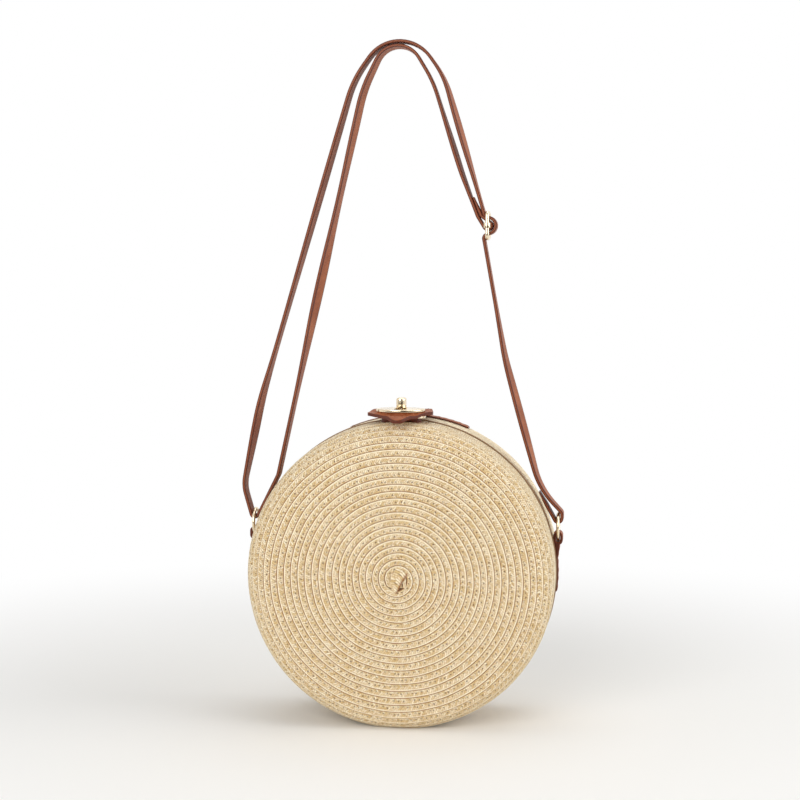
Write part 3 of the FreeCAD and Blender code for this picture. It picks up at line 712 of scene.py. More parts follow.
# %% Bindings
RING_STEPS = 240
BINDING_INSIDE = 0.8 * MM
BINDING_CORNER = 0.7 * MM
bindings = {}
for half, _ in HALVES:
    low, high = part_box(half + "_binding")
    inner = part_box(half + "_lining")[1].x - BINDING_INSIDE
    section = rounded_section(high.x - inner, high.y - low.y, BINDING_CORNER)
    # The outer half is darker than the inner one
    section = [(u, v, 1.0 if u > 0 else 0.4) for u, v, _ in section]
    places = []
    for step in range(RING_STEPS):
        angle = 2 * math.pi * step / RING_STEPS
        radial = Vector((math.cos(angle), 0, math.sin(angle)))
        point = Vector((0, (low.y + high.y) / 2, CENTRE_Z)) + radial * ((high.x + inner) / 2)
        places.append((point, radial, Vector((0, 1, 0))))
    bindings[half] = sweep(half + "_mouth_binding", places, section, BINDING, closed=True)

# %% Lining cloth
CLOTH = 0.4 * MM
OPEN_INSET = 0.2 * MM
SEAM_INSET = 1.6 * MM
PUCKERS = 56
FACE_GRID = (28, 168)
BAND_GRID = (12, 336)


def cloth_sheet(name, grid, place, cotton):
    """Closed round of cloth from place(row share, turn share), given a little thickness."""
    rows, columns = grid
    points = [place(row / rows, column / columns) for row in range(rows + 1) for column in range(columns)]
    faces = []
    for row in range(rows):
        for column in range(columns):
            beside = (column + 1) % columns
            here = row * columns
            faces.append((here + column, here + beside, here + columns + beside, here + columns + column))
    mesh = bpy.data.meshes.new(name)
    mesh.from_pydata(points, [], faces)
    shell = bmesh.new()
    shell.from_mesh(mesh)
    bmesh.ops.remove_doubles(shell, verts=shell.verts, dist=0.001 * MM)
    bmesh.ops.recalc_face_normals(shell, faces=shell.faces)
    bmesh.ops.solidify(shell, geom=shell.faces, thickness=CLOTH)
    shell.to_mesh(mesh)
    shell.free()
    mesh.shade_smooth()
    mesh.materials.append(cotton)
    print(name, len(mesh.polygons), "faces")
    return link_object(name, mesh)


linings = {}
for half, side in HALVES:
    low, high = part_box(half + "_lining")
    face_y = (low.y if side > 0 else -high.y) + CLOTH
    open_y = (high.y if side > 0 else -low.y) - OPEN_INSET
    wall = high.x - CLOTH
    seam = wall - SEAM_INSET

    def face_place(row, turn):
        """Point of the round: it sags a little, and puckers towards its seam."""
        angle = 2 * math.pi * turn
        x = seam * row * math.cos(angle)
        z = seam * row * math.sin(angle)
        pucker = 0.5 * MM * row ** 6 * math.sin(PUCKERS * angle)
        sag = 0.8 * MM * noise.noise(Vector((x, z, side)) / (34 * MM))
        return (side * x, side * (face_y + 0.9 * MM + sag * (1 - row ** 4) + pucker), CENTRE_Z + z)

    def band_place(row, turn):
        """Point of the strip: it flares from the seam to the wall, with ripples and a few creases."""
        angle = 2 * math.pi * turn
        flare = seam + (wall - seam) * min(1, 4 * row)
        ripple = 0.35 * MM * (1 - row) * math.sin(PUCKERS * angle)
        crease = 0.4 * MM * noise.noise(Vector((math.cos(angle) * 4, math.sin(angle) * 4, row * 1.5 + side)))
        radius = flare - abs(crease) + ripple * min(1, 6 * row) - 0.3 * MM
        y = face_y + (open_y - face_y) * row
        return (side * radius * math.cos(angle), side * y, CENTRE_Z + radius * math.sin(angle))

    linings[half, "face"] = cloth_sheet(half + "_lining_face", FACE_GRID, face_place, COTTON)
    linings[half, "band"] = cloth_sheet(half + "_lining_band", BAND_GRID, band_place, COTTON_STRIP)

# %% [markdown]
# ## The strap's line
# The strap is one band of leather: sewn round the slider's bar, up over the top, down to the left ring
# and through it, up again beside itself, through the slider and down to the right ring. Its middle line
# runs straight between round guides, as a belt runs over pulleys, so a few circles give the whole lie.

# %% Sizes of the strap
strap_low, strap_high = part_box("strap")
ring_low, ring_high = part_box("ring_right")
slider_low, slider_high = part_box("slider_frame")
STRAP_WIDTH = strap_high.y - strap_low.y
STRAP_Y = (strap_high.y + strap_low.y) / 2
STRAP_LEATHER = 2.0 * MM
APEX_Z = strap_high.z - STRAP_LEATHER / 2
RING_X = (ring_high.x + ring_low.x) / 2
RING_Z = (ring_high.z + ring_low.z) / 2
RING_WIRE = ring_high.x - ring_low.x
RING_MEAN = (ring_high.z - ring_low.z - RING_WIRE) / 2
SLIDER_X = (slider_high.x + slider_low.x) / 2
SLIDER_Z = (slider_high.z + slider_low.z) / 2
SLIDER_WIRE = slider_high.x - slider_low.x
SLIDER_SPACING = (slider_high.z - slider_low.z - SLIDER_WIRE) / 2
print("strap", round(STRAP_WIDTH / MM, 1), "mm wide, up to", round(strap_high.z / MM, 1), "mm")

# %% Lines round circles
LEFT = 1
RIGHT = -1


def tangent_run(first, second):
    """Straight run between two guides of (u, v, radius, turn): where it leaves, arrives and heads."""
    au, av, ar, at = first
    bu, bv, br, bt = second
    lean = math.asin((bt * br - at * ar) / math.hypot(bu - au, bv - av))
    heading = math.atan2(bv - av, bu - au) - lean
    nu = -math.sin(heading)
    nv = math.cos(heading)
    return (au - at * ar * nu, av - at * ar * nv), (bu - bt * br * nu, bv - bt * br * nv), heading


def bend_along(low_end, far_end, run, aside, angle, radius, turn):
    """Guide that bends a strand a run up the line from its low end, to the left, at an angle to it."""
    du = far_end[0] - low_end[0]
    dv = far_end[1] - low_end[1]
    span = math.hypot(du, dv)
    u = low_end[0] + (du * run - dv * aside) / span
    v = low_end[1] + (dv * run + du * aside) / span
    heading = math.atan2(dv, du) + math.radians(angle)
    return (u - turn * radius * math.sin(heading), v + turn * radius * math.cos(heading), radius, turn)


def arch_guides(x, top, tight, left, right, turn):
    """Guides (left, top, right) of one pass over the top: a tight bend between two wide ones."""
    crown = top - tight
    flanks = []
    for way, (lean, wide) in ((1, left), (-1, right)):
        step = (wide - tight) * 1.01
        angle = math.radians(lean)
        flanks.append((x + way * step * math.sin(angle), crown - step * math.cos(angle), wide, turn))
    return [flanks[0], (x, crown, tight, turn), flanks[1]]


def walk(guides, step, closed=False):
    """Places (u, v, heading) along a line that runs round guides."""
    ahead = guides[1:] + (guides[:1] if closed else [])
    runs = [tangent_run(a, b) for a, b in zip(guides, ahead)]
    places = []
    for index, (leave, arrive, heading) in enumerate(runs):
        count = max(1, round(math.dist(leave, arrive) / step))
        for part in range(count + 1):
            share = part / count
            places.append((leave[0] + (arrive[0] - leave[0]) * share,
                           leave[1] + (arrive[1] - leave[1]) * share, heading))
        if index + 1 == len(runs) and not closed:
            break
        u, v, radius, turn = guides[(index + 1) % len(guides)]
        bend = (runs[(index + 1) % len(runs)][2] - heading) * turn % (2 * math.pi)
        count = max(2, round(bend * radius / step), round(bend / math.radians(9)))
        for part in range(1, count):
            now = heading + turn * bend * part / count
            places.append((u + turn * radius * math.sin(now), v - turn * radius * math.cos(now), now))
    return places


pulleys = [(0, 0, 1, LEFT), (5, 0, 1, LEFT)]
print("a belt round two pulleys takes", len(walk(pulleys, 1, closed=True)), "places")

# %% Guides of the strap
STRAP_STEP = 2.5 * MM
LAP_GAP = 0.2 * MM
LAP = STRAP_LEATHER + LAP_GAP
BAR_PLAY = 0.3 * MM
RING_PLAY = 0.35 * MM
# A sewn-down end is pared to this share of the thickness, and lies closer
PARED_END = 0.4
END_LAP = STRAP_LEATHER * (1 + PARED_END) / 2 + LAP_GAP
FOLD_LENGTH = 18.0 * MM
SHORT_FOLD = 11.5 * MM
# Where the left strand comes to rest over the drum: gap, bend and angle round the axis
REST_GAP = 3.4 * MM
REST_BEND = 8.0 * MM
REST_ANGLE = math.radians(145.4)


def strap_guides():
    """Circles that the strap's middle line runs round, from the slider's bar to the right ring."""
    half_leather = STRAP_LEATHER / 2
    ring_pass = RING_WIRE / 2 + RING_PLAY + half_leather
    ring_bore = RING_MEAN - RING_WIRE / 2
    chord = math.sqrt(ring_bore ** 2 - (STRAP_WIDTH / 2 + RING_PLAY) ** 2)
    pass_z = RING_Z + chord - RING_PLAY + ring_pass - half_leather
    wrap = SLIDER_WIRE / 2 + LAP_GAP + half_leather
    # The sewn end goes round the slider's middle bar, and the strand rises from it in a wide bend
    bar_loop = (SLIDER_X, SLIDER_Z, wrap, RIGHT)
    fold_bend = (SLIDER_X - 1.5 * MM, SLIDER_Z + 7.8 * MM, 3.0 * MM, LEFT)
    fold_outer = (fold_bend[0], fold_bend[1], fold_bend[2] + LAP, RIGHT)
    rise = (SLIDER_X + 125.6 * MM, SLIDER_Z + 81.3 * MM, 150.0 * MM, RIGHT)
    leave, _, heading = tangent_run(fold_outer, rise)
    first_end = (leave[0] + math.cos(heading) * SHORT_FOLD + math.sin(heading) * END_LAP,
                 leave[1] + math.sin(heading) * SHORT_FOLD - math.cos(heading) * END_LAP, 0, LEFT)
    # Two passes over the top, one under the other
    inner = arch_guides(
        -4.25 * MM, APEX_Z - 2.9 * MM, 14.5 * MM, (55.9, 86.3 * MM), (50.8, 73.6 * MM), LEFT)
    outer = arch_guides(-3.5 * MM, APEX_Z, 23.0 * MM, (46.2, 66.2 * MM), (46.2, 59.0 * MM), RIGHT)
    # On the left, one strand sags and rests over the drum, and the other bulges as it leaves the ring
    left_pass = (-RING_X, pass_z, ring_pass, RIGHT)
    rest_out = DRUM_RADIUS + REST_GAP + REST_BEND + half_leather
    left_rest = (
        rest_out * math.cos(REST_ANGLE), CENTRE_Z + rest_out * math.sin(REST_ANGLE), REST_BEND, RIGHT)
    left_sag = bend_along(left_rest, inner[1], 132.7 * MM, 5.1 * MM, 182.6, 500 * MM, LEFT)
    left_bulge = (-RING_X + 17.3 * MM, pass_z + 18.4 * MM, 24.0 * MM, RIGHT)
    left_lean = bend_along(left_pass, outer[1], 67.0 * MM, 19.0 * MM, 5.05, 250 * MM, RIGHT)
    # Through the slider: past the high bar, over the loop on the middle one, past the low bar
    bar_high = (SLIDER_X, SLIDER_Z + SLIDER_SPACING, wrap, LEFT)
    bar_middle = (SLIDER_X, SLIDER_Z, wrap + LAP + BAR_PLAY, RIGHT)
    bar_low = (SLIDER_X, SLIDER_Z - SLIDER_SPACING, wrap, LEFT)
    # On the right, the strand flares above the ring, goes round its wire and is sewn to itself
    right_top = (RING_X, RING_Z + RING_MEAN, ring_pass, RIGHT)
    right_lean = bend_along(right_top, bar_low, 100.2 * MM, 7.9 * MM, 178.4, 200 * MM, LEFT)
    right_flare = bend_along(right_top, bar_low, 22.4 * MM, 6.5 * MM, 189.9, 50 * MM, LEFT)
    right_pass = (RING_X, pass_z, ring_pass, RIGHT)
    _, arrive, heading = tangent_run(right_flare, right_top)
    last_end = (arrive[0] - math.cos(heading) * FOLD_LENGTH + math.sin(heading) * END_LAP,
                arrive[1] - math.sin(heading) * FOLD_LENGTH - math.cos(heading) * END_LAP, 0, RIGHT)
    return [first_end, fold_bend, bar_loop, fold_outer, rise, *reversed(inner), left_sag, left_rest,
            left_pass, left_bulge, left_lean, *outer, bar_high, bar_middle, bar_low, right_lean, right_flare,
            right_top, right_pass, last_end]


strap_line = walk(strap_guides(), STRAP_STEP)
strap_length = sum(math.dist(here[:2], there[:2]) for here, there in zip(strap_line, strap_line[1:]))
print("strap line of", len(strap_line), "places,", round(strap_length / MM), "mm")

# %% [markdown]
# ## The strap
# Leather does not hang square: each strand turns a little, so its face shows here and its edge there.
# The turn is a smooth swell about a place on the line, the section has rounded, painted edges, and both
# sewn ends are pared thin, as a saddler does before a fold.

# %% Section and turns of the strap
# Strand, middle of the swell and its reach along the strap in millimetres, and the turn in degrees
TURNS = (
    ("inner right strand", 75, 40, -8),
    ("inner left strand, high", 208, 80, 12),
    ("inner left strand, middle", 315, 75, 19),
    ("outer left strand, low", 530, 50, -13),
    ("outer left strand, high", 690, 110, -8),
    ("outer right strand", 858, 48, 12),
    ("lower right strand", 1045, 78, 16),
)
# A quarter of the section in shares of its half width and half thickness, with the share of edge paint
# The low share at the middle of the narrow side is a painted highlight, where the rounded edge catches light
STRAP_QUARTER = [
    (1.0, 0.0, 0.15), (0.994, 0.5, 0.9), (0.97, 0.85, 1.0), (0.90, 0.98, 1.0), (0.80, 1.0, 0.6),
    (0.66, 1.0, 0.0)]
strap_section = []
for way_u, way_v, quarter in (
        (1, 1, STRAP_QUARTER), (-1, 1, STRAP_QUARTER[::-1]),
        (-1, -1, STRAP_QUARTER[1:]), (1, -1, STRAP_QUARTER[:0:-1])):
    for u, v, paint_and_highlight in quarter:
        strap_section.append((way_u * u * STRAP_WIDTH / 2, way_v * v * STRAP_LEATHER / 2, paint_and_highlight))
print("strap section of", len(strap_section), "points, turned in", len(TURNS), "places")

# %% Strap leather
PARED_RUN = 10 * MM
SAME_PLACE = 0.01 * MM


def ramp(value, start, end):
    """Smooth rise from 0 at the start to 1 at the end, and level beyond both."""
    share = min(max((value - start) / (end - start), 0.0), 1.0)
    return share * share * (3 - 2 * share)


strap_places = []
run = 0.0
before = None
for u, v, heading in strap_line:
    step = math.hypot(u - before[0], v - before[1]) if before else 0.0
    run += step
    if before and step < SAME_PLACE:
        continue
    before = (u, v)
    turn = 0.0
    for _, middle, reach, degrees in TURNS:
        off = abs(run / MM - middle) / reach
        turn += math.radians(degrees) * math.cos(min(off, 1) * math.pi / 2) ** 2
    thin = PARED_END + (1 - PARED_END) * ramp(min(run, strap_length - run), 0, PARED_RUN)
    across = Vector((0, 1, 0))
    normal = Vector((-math.sin(heading), 0, math.cos(heading)))
    strap_places.append((Vector((u, STRAP_Y, v)), across * math.cos(turn) + normal * math.sin(turn),
                         (normal * math.cos(turn) - across * math.sin(turn)) * thin))
strap = sweep("strap_leather", strap_places, strap_section, LEATHER)

# %% [markdown]
# ## Leather and metal pieces with their edges eased
# The CAD tabs, plates, rings and slider have the right shape but razor edges. A copy of each is merged,
# its sharp edges are rounded a little, and it is shaded smooth, so the light runs along the edges. Soft
# leather also gives way: it could be sculpted by hand, but a rule for each piece can be read and changed.

# %% How soft leather gives way
plate_low, plate_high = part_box("eyelet_plate")
PLATE_MIDDLE = (plate_low + plate_high) / 2
PLATE_HALF = (plate_high - plate_low) / 2
PAD_Y = sum(corner.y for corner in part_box("lock_pad")) / 2
TAB_FALL = 2.0 * MM
TAB_REACH = 1.4 * MM
STRIP_ABOVE = 150 * MM


def drooped(spot):
    """The tab's rim curls down where no plate holds it, and its left corner reaches out a little."""
    x, y, z = spot
    off = spot - PLATE_MIDDLE
    free = ramp(math.hypot(off.x / PLATE_HALF.x, off.y / PLATE_HALF.y), 0.94, 1.04)
    ahead = ramp(y, -8 * MM, -16 * MM)
    tip = ramp(y, -33 * MM, -41 * MM)
    left = ramp(x, -12 * MM, -19 * MM)
    right = ramp(x, 10 * MM, 16 * MM)
    fall = TAB_FALL * free * ahead * (1 - 0.65 * tip) * (1 - 0.35 * left - 0.8 * right)
    reach = TAB_REACH * left * max(0.0, 1 - ((y - PAD_Y) / (12 * MM)) ** 2)
    return Vector((x - reach, y, z - fall))


def drawn_in(spot):
    """The pad is pressed in under the plate, whose rim stands over it."""
    return Vector((0.72 * spot.x, PAD_Y + 0.45 * (spot.y - PAD_Y), spot.z))


def pared(spot):
    """The strip thins out to its left end, a side tab away from its ring, and both lie on the rim."""
    out = Vector((spot.x, 0, spot.z - CENTRE_Z))
    if spot.z > STRIP_ABOVE:
        keep = 0.6 - 0.5 * ramp(spot.x, -8 * MM, -22 * MM)
    else:
        keep = 0.32 + 0.68 * ramp(spot.z, 101 * MM, 110 * MM)
    height = (out.length - DRUM_RADIUS) * keep
    past_band = max(0.0, spot.y + FRONT_FACE + RIM)
    ground = FLAT_RADIUS + math.sqrt(RIM ** 2 - past_band ** 2)
    return out.normalized() * (ground + height) + Vector((0, spot.y, CENTRE_Z))


print("the tab's plate is", round(2 * PLATE_HALF.x / MM, 1), "by", round(2 * PLATE_HALF.y / MM, 1), "mm")

# %% Leather pieces
FLAT_ENOUGH = math.radians(0.5)
SHARP = math.radians(40)
CREASE = math.radians(32)
EASE_SEGMENTS = 3
SOFT_CUTS = 5
SOFT_EDGE = 2.5 * MM
# Node, how much its edges are eased, which way a cut edge faces, and how the leather gives way
LEATHER_NODES = (
    ("closure_tab", 0.45 * MM, lambda n: abs(n.z) < 0.75, drooped),
    ("lock_pad", 0.40 * MM, lambda n: abs(n.z) < 0.6, drawn_in),
    ("anchor_strip", 0.35 * MM, lambda n: abs(n.y) > 0.6 or abs(n.x) > 0.8, pared),
    ("side_tab_left", 0.40 * MM, lambda n: abs(n.y) > 0.6, pared),
    ("side_tab_right", 0.40 * MM, lambda n: abs(n.y) > 0.6, pared),
)


def eased(node, material, ease, is_edge=None, reshape=None):
    """Copy a CAD node, round its sharp edges, mark where a cut edge is, and let soft leather give way."""
    mesh = frame["nodes"][node].data.copy()
    shell = bmesh.new()
    shell.from_mesh(mesh)
    bmesh.ops.remove_doubles(shell, verts=shell.verts, dist=WELD)
    bmesh.ops.dissolve_limit(shell, angle_limit=FLAT_ENOUGH, verts=shell.verts, edges=shell.edges)
    if ease:
        sharp = [edge for edge in shell.edges
                 if len(edge.link_faces) == 2 and edge.calc_face_angle() > SHARP]
        bmesh.ops.bevel(shell, geom=sharp, offset=ease, segments=EASE_SEGMENTS, profile=0.5,
                        affect="EDGES", clamp_overlap=True)
    for _ in range(SOFT_CUTS if reshape else 0):
        bmesh.ops.triangulate(shell, faces=shell.faces)
        long_edges = [edge for edge in shell.edges if edge.calc_length() > SOFT_EDGE]
        bmesh.ops.subdivide_edges(shell, edges=long_edges, cuts=1)
    shell.normal_update()
    marks = [1.0 if is_edge and is_edge(vertex.normal) else 0.0 for vertex in shell.verts]
    if reshape:
        for vertex in shell.verts:
            vertex.co = reshape(vertex.co)
        bmesh.ops.triangulate(shell, faces=shell.faces)
    shell.to_mesh(mesh)
    shell.free()
    store(mesh, "leather_edge", marks)
    mesh.shade_smooth()
    mesh.set_sharp_from_angle(angle=CREASE)
    mesh.materials.clear()
    mesh.materials.append(material)
    print(node, "eased:", len(mesh.polygons), "faces")
    return link_object(node + "_finished", mesh)


finished = {}
for node, ease, is_edge, reshape in LEATHER_NODES:
    finished[node] = eased(node, LEATHER, ease, is_edge, reshape)

# %% Metal pieces
# The frame and the rings are round wire, with no edge to ease
METAL_NODES = (
    ("lock_base_plate", 0.12 * MM), ("lock_backing_plate", 0.12 * MM), ("lock_rivets", 0.15 * MM),
    ("turn_knob", 0.10 * MM), ("knob_washer", 0.10 * MM), ("eyelet_plate", 0.12 * MM),
    ("eyelet_back_plate", 0.10 * MM), ("eyelet_rivets", 0.15 * MM), ("slider_frame", 0),
    ("slider_bar", 0.15 * MM), ("ring_left", 0), ("ring_right", 0),
)
for node, ease in METAL_NODES:
    finished[node] = eased(node, METAL, ease)

# %% [markdown]
# ## Stitches
# Rows of waxed thread hold the leather down. A stitch repeats along a line, so one tree walks each line
# in even steps and sets a small rounded grain there, turned along the line. The lines could be typed
# in, but rays that fall on the finished leather find them, so no stitch floats or sinks.

# %% Tree for a row of stitches
STITCH = 3.0 * MM
STITCH_GAP = 1.4 * MM
STITCH_THREAD = 0.45 * MM


def row_tree():
    """Tree that sets small rounded stitches along the edges of a line."""
    tree = bpy.data.node_groups.new("row of stitches", "GeometryNodeTree")
    for name, kind in (
        ("Line", "Geometry"), ("Pitch", "Float"), ("Length", "Float"), ("Thickness", "Float"),
        ("Finish", "Material"),
    ):
        tree.interface.new_socket(name, in_out="INPUT", socket_type="NodeSocket" + kind)
    tree.interface.new_socket("Row", in_out="OUTPUT", socket_type="NodeSocketGeometry")
    given = add_node(tree, "NodeGroupInput").outputs
    line = add_node(tree, "GeometryNodeMeshToCurve", {"Mesh": given["Line"]})
    even = add_node(tree, "GeometryNodeResampleCurve", {
        "Curve": line.outputs[0], "Length": given["Pitch"]}, mode="LENGTH")
    grain = add_node(tree, "GeometryNodeMeshUVSphere", {"Segments": 8, "Rings": 5, "Radius": 0.5})
    size = add_node(tree, "ShaderNodeCombineXYZ", {
        "X": given["Length"], "Y": given["Thickness"], "Z": given["Thickness"]})
    way = add_node(tree, "GeometryNodeInputTangent")
    turned = add_node(tree, "FunctionNodeAlignRotationToVector", {"Vector": way.outputs[0]}, axis="X")
    row = add_node(tree, "GeometryNodeInstanceOnPoints", {
        "Points": even.outputs[0], "Instance": grain.outputs["Mesh"],
        "Rotation": turned.outputs[0], "Scale": size.outputs[0]}).outputs[0]
    for kind, links in (
        ("RealizeInstances", {}),
        ("SetShadeSmooth", {}),
        ("SetMaterial", {"Material": given["Finish"]}),
    ):
        row = add_node(tree, "GeometryNode" + kind, dict(links, Geometry=row)).outputs[0]
    add_node(tree, "NodeGroupOutput", {0: row})
    return tree


ROW = row_tree()
print("row tree with", len(ROW.nodes), "nodes")


# %% Helpers for lines of stitches
def stitch_rows(name, lines):
    """One piece of stitches along lines of points."""
    points, edges = [], []
    for line in lines:
        first = len(points)
        points.extend(line)
        edges.extend((first + i, first + i + 1) for i in range(len(line) - 1))
    base = bpy.data.meshes.new(name + "_line")
    base.from_pydata(points, edges, [])
    return grow(name, ROW, {
        "Pitch": STITCH + STITCH_GAP, "Length": STITCH, "Thickness": STITCH_THREAD, "Finish": THREAD}, base)


def laid(node, rays):
    """Points where rays of (start, way) meet a finished piece."""
    mesh = finished[node].data
    surface = BVHTree.FromPolygons([v.co for v in mesh.vertices], [p.vertices for p in mesh.polygons])
    hits = [surface.ray_cast(start, way)[0] for start, way in rays]
    return [hit for hit in hits if hit]


def round_rays(y, angles):
    """Rays at one depth from outside the drum towards its axis."""
    ways = [Vector((math.cos(angle), 0, math.sin(angle))) for angle in angles]
    return [(Vector((0, y, CENTRE_Z)) + way * (DRUM_RADIUS + 12 * MM), -way) for way in ways]


print("a stitch every", round((STITCH + STITCH_GAP) / MM, 1), "mm")

# %% Lines of stitches
SEAM_IN = 2.0 * MM
SEAM_STEP = 1.5 * MM
ABOVE_TAB = 0.25
# Circles that the tab's outline runs round: place and radius in millimetres
TAB_CORNERS = ((10, 23, 3), (-10, 23, 3), (-14.5, -18, 5), (0, -37.0, 5), (14.5, -18, 5))
STRIP_STEPS = 60
SIDE_STEPS = 20
# Angles from the level of the axis between which the side tabs are sewn, in degrees
SIDE_FROM = -6
SIDE_SPAN = 12.5
tab_outline = [(u * MM, v * MM, r * MM - SEAM_IN, LEFT) for u, v, r in TAB_CORNERS]
tab_line = laid("closure_tab", [
    (Vector((u, v, ABOVE_TAB)), Vector((0, 0, -1)))
    for u, v, _ in walk(tab_outline, SEAM_STEP, closed=True)])
seams = {"closure_tab": [tab_line + tab_line[:1]]}
strip_low, strip_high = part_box("anchor_strip")
strip_reach = math.asin((strip_high.x - SEAM_IN) / (strip_high.z - CENTRE_Z))
strip_angles = [math.pi / 2 + strip_reach * (2 * i / STRIP_STEPS - 1) for i in range(STRIP_STEPS + 1)]
strip_depths = (strip_low.y + SEAM_IN, strip_high.y - SEAM_IN)
seams["anchor_strip"] = [laid("anchor_strip", round_rays(y, strip_angles)) for y in strip_depths]
side_angles = [math.radians(SIDE_FROM + SIDE_SPAN * i / SIDE_STEPS) for i in range(SIDE_STEPS + 1)]
for node, middle, way in (("side_tab_right", 0.0, 1), ("side_tab_left", math.pi, -1)):
    low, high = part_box(node)
    seams[node] = [
        laid(node, round_rays(y, [middle + way * angle for angle in side_angles]))
        for y in (low.y + SEAM_IN, high.y - SEAM_IN)]
stitches = {node: stitch_rows(node + "_stitches", lines) for node, lines in seams.items()}

# %% [markdown]
# ## Floor, light and camera
# A plain pale floor and soft lamps show the object at about the colours that are written here. A bright
# backdrop could come from more light, but that would bleach the straw, so the floor and the world are
# white only to the camera and to the metal. The camera stands where the photograph was taken from: a
# little to the right, a little above the top.

# %% Floor
FLOOR_REACH = 6.0
# The floor keeps the shadow near the bag, and is white paper from the second distance on
FADE_FROM = 0.16
FADE_TO = 0.62
# In the metal it darkens towards the viewer, between these places
DIM_FROM = -0.5
DIM_TO = -0.9
floor_mesh = bpy.data.meshes.new("floor")
corners = [(x * FLOOR_REACH, y * FLOOR_REACH, 0) for x, y in ((-1, -1), (1, -1), (1, 1), (-1, 1))]
floor_mesh.from_pydata(corners, [], [(0, 1, 2, 3)])
floor = link_object("floor", floor_mesh)
floor_material, floor_tree, floor_shader, floor_place = new_material("pale studio floor")
fill(floor_shader, {"Base Color": linear("#F8F7F4"), "Roughness": 0.9, "Specular IOR Level": 0.1})
floor_ray = add_node(floor_tree, "ShaderNodeLightPath").outputs
far = add_node(floor_tree, "ShaderNodeVectorMath", {0: floor_place}, operation="LENGTH")
fade = add_node(floor_tree, "ShaderNodeMapRange", {
    "Value": far.outputs["Value"], "From Min": FADE_FROM, "From Max": FADE_TO},
    interpolation_type="SMOOTHSTEP")
floor_seen = add_node(floor_tree, "ShaderNodeMath", {
    0: floor_ray["Is Camera Ray"], 1: floor_ray["Is Glossy Ray"]}, operation="MAXIMUM")
floor_share = add_node(floor_tree, "ShaderNodeMath", {
    0: floor_seen.outputs[0], 1: fade.outputs[0]}, operation="MULTIPLY")
floor_spot = add_node(floor_tree, "ShaderNodeSeparateXYZ", {0: floor_place})
near = add_node(floor_tree, "ShaderNodeMapRange", {
    "Value": floor_spot.outputs["Y"], "From Min": DIM_FROM, "From Max": DIM_TO},
    interpolation_type="SMOOTHSTEP")
dim = add_node(floor_tree, "ShaderNodeMath", {
    0: near.outputs[0], 1: floor_ray["Is Glossy Ray"]}, operation="MULTIPLY")
tint = add_node(floor_tree, "ShaderNodeMix", {
    0: dim.outputs[0], 6: linear("#FFFFFF"), 7: linear("#4A423A")}, data_type="RGBA")
paper = add_node(floor_tree, "ShaderNodeEmission", {"Color": tint.outputs[2], "Strength": 1.0})
surface = add_node(floor_tree, "ShaderNodeMixShader", {
    0: floor_share.outputs[0], 1: floor_shader.outputs[0], 2: paper.outputs[0]})
fill(floor_tree.nodes["Material Output"], {"Surface": surface.outputs[0]})
floor_mesh.materials.append(floor_material)
print("floor", 2 * FLOOR_REACH, "m wide")

# %% Lamps
# Name, place, size and power
LAMPS = (
    ("key lamp", (-0.45, -1.45, 0.70), 1.1, 13.3),
    ("side lamp", (1.50, -0.30, 0.75), 1.2, 10.5),
    ("top lamp", (0.10, 0.25, 1.60), 1.4, 7.0),
)
LAMP_AIM = Vector((0, 0, 0.14))
for name, place, size, power in LAMPS:
    lamp = bpy.data.lights.new(name, "AREA")
    lamp.size = size
    lamp.energy = power
    holder = bpy.data.objects.new(name, lamp)
    holder.location = place
    holder.rotation_euler = (LAMP_AIM - Vector(place)).to_track_quat("-Z", "Y").to_euler()
    scene.collection.objects.link(holder)
    print(name, power, "W")

# %% World
# The dark gap between two soft lamps, seen only in the metal: an upright stripe behind the camera
GAP_MIDDLE = math.radians(7)
GAP_REACH = math.radians(24)
GAP_CORE = 0.75 * GAP_REACH
AMBIENT = 0.42
world = bpy.data.worlds.new("white studio")
scene.world = world
world.use_nodes = True
sky = world.node_tree
sky.nodes.clear()
sky_ray = add_node(sky, "ShaderNodeLightPath").outputs
sky_seen = add_node(sky, "ShaderNodeMath", {
    0: sky_ray["Is Camera Ray"], 1: sky_ray["Is Glossy Ray"]}, operation="MAXIMUM")
sky_place = add_node(sky, "ShaderNodeTexCoord").outputs["Generated"]
sky_way = add_node(sky, "ShaderNodeSeparateXYZ", {0: sky_place}).outputs
to_viewer = add_node(sky, "ShaderNodeMath", {0: sky_way["Y"], 1: -1.0}, operation="MULTIPLY")
bearing = add_node(sky, "ShaderNodeMath", {0: sky_way["X"], 1: to_viewer.outputs[0]}, operation="ARCTAN2")
aside = add_node(sky, "ShaderNodeMath", {0: bearing.outputs[0], 1: GAP_MIDDLE}, operation="SUBTRACT")
off_gap = add_node(sky, "ShaderNodeMath", {0: aside.outputs[0]}, operation="ABSOLUTE")
gap = add_node(sky, "ShaderNodeMapRange", {
    "Value": off_gap.outputs[0], "From Min": GAP_REACH, "From Max": GAP_CORE},
    interpolation_type="SMOOTHSTEP")
dark = add_node(sky, "ShaderNodeMath", {0: gap.outputs[0], 1: sky_ray["Is Glossy Ray"]}, operation="MULTIPLY")
room = add_node(sky, "ShaderNodeMix", {
    0: dark.outputs[0], 6: linear("#FFFFFF"), 7: linear("#241C16")}, data_type="RGBA")
white = add_node(sky, "ShaderNodeBackground", {"Color": room.outputs[2], "Strength": 1.0})
ambient = add_node(sky, "ShaderNodeBackground", {"Color": linear("#FFFFFF"), "Strength": AMBIENT})
both = add_node(sky, "ShaderNodeMixShader", {
    0: sky_seen.outputs[0], 1: ambient.outputs[0], 2: white.outputs[0]})
add_node(sky, "ShaderNodeOutputWorld", {"Surface": both.outputs[0]})
scene.view_settings.view_transform = "Standard"
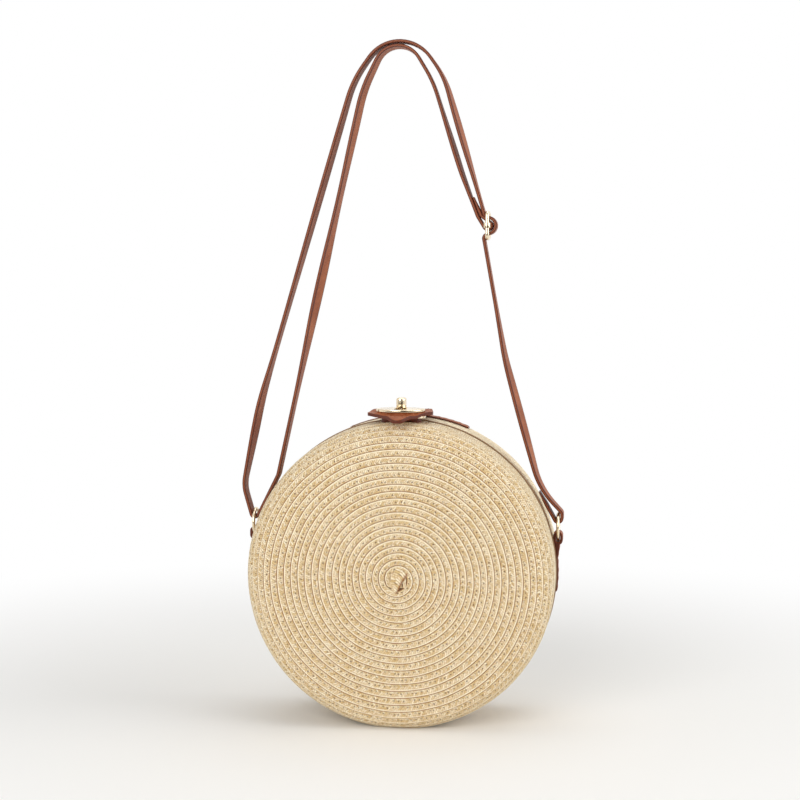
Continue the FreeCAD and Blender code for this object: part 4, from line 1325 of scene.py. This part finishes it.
print("world with", len(sky.nodes), "nodes")

# %% Camera
CAMERA_PLACE = (132.9 * MM, -1091.6 * MM, 282.6 * MM)
CAMERA_TURN = math.radians(7.106)
CAMERA_DOWN = math.radians(4.355)
SENSOR_WIDTH = 36.0
LENS = 79.9
camera = bpy.data.cameras.new("camera")
camera.sensor_width = SENSOR_WIDTH
camera.lens = LENS
viewer = bpy.data.objects.new("camera", camera)
viewer.location = CAMERA_PLACE
viewer.rotation_euler = (math.pi / 2 - CAMERA_DOWN, 0, CAMERA_TURN)
scene.collection.objects.link(viewer)
scene.camera = viewer
print("camera", round(Vector(CAMERA_PLACE).length, 2), "m off, lens", LENS, "mm")

# %% [markdown]
# ## Riding the frame
# Every piece is put on the body it moves with, and the CAD nodes it stands for are hidden. The front
# half could swing as one stiff shell, but sewn straw bends, so its band, binding and lining are left
# where they are built, on no body.

# %% Bodies and nodes
node_body = {node: body for body, nodes in frame["record"]["behaviour"]["bodies"].items() for node in nodes}


def settle(piece, body, slot, *nodes):
    """Say which body a piece rides and which CAD nodes it stands for; the slot for its finish is not used."""
    if nodes:
        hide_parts(*nodes)
    if body == "flex":
        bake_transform(piece)
    else:
        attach(piece, body)


for half, _ in HALVES:
    shell_body = half + "_shell"
    soft_body = "flex" if half == "front" else shell_body
    settle(braid[half, "face"], shell_body, "straw_braid", half + "_panel")
    settle(braid[half, "band"], soft_body, "straw_braid", half + "_gusset")
    for strip in folds[half]:
        settle(strip, shell_body, "straw_braid")
    settle(bindings[half], soft_body, "binding_leather", half + "_binding")
    settle(linings[half, "face"], shell_body, "lining_cloth", half + "_lining")
    settle(linings[half, "band"], soft_body, "lining_cloth", half + "_lining")
settle(strap, "strap", "brown_leather", "strap")
for node, piece in finished.items():
    settle(piece, node_body[node], "pale_gold" if piece.data.materials[0] == METAL else "brown_leather", node)
for node, piece in stitches.items():
    settle(piece, node_body[node], "brown_leather")

# %% Cloth sizes
for half, _ in HALVES:
    low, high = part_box(half + "_lining")
    width = 2 * high.x
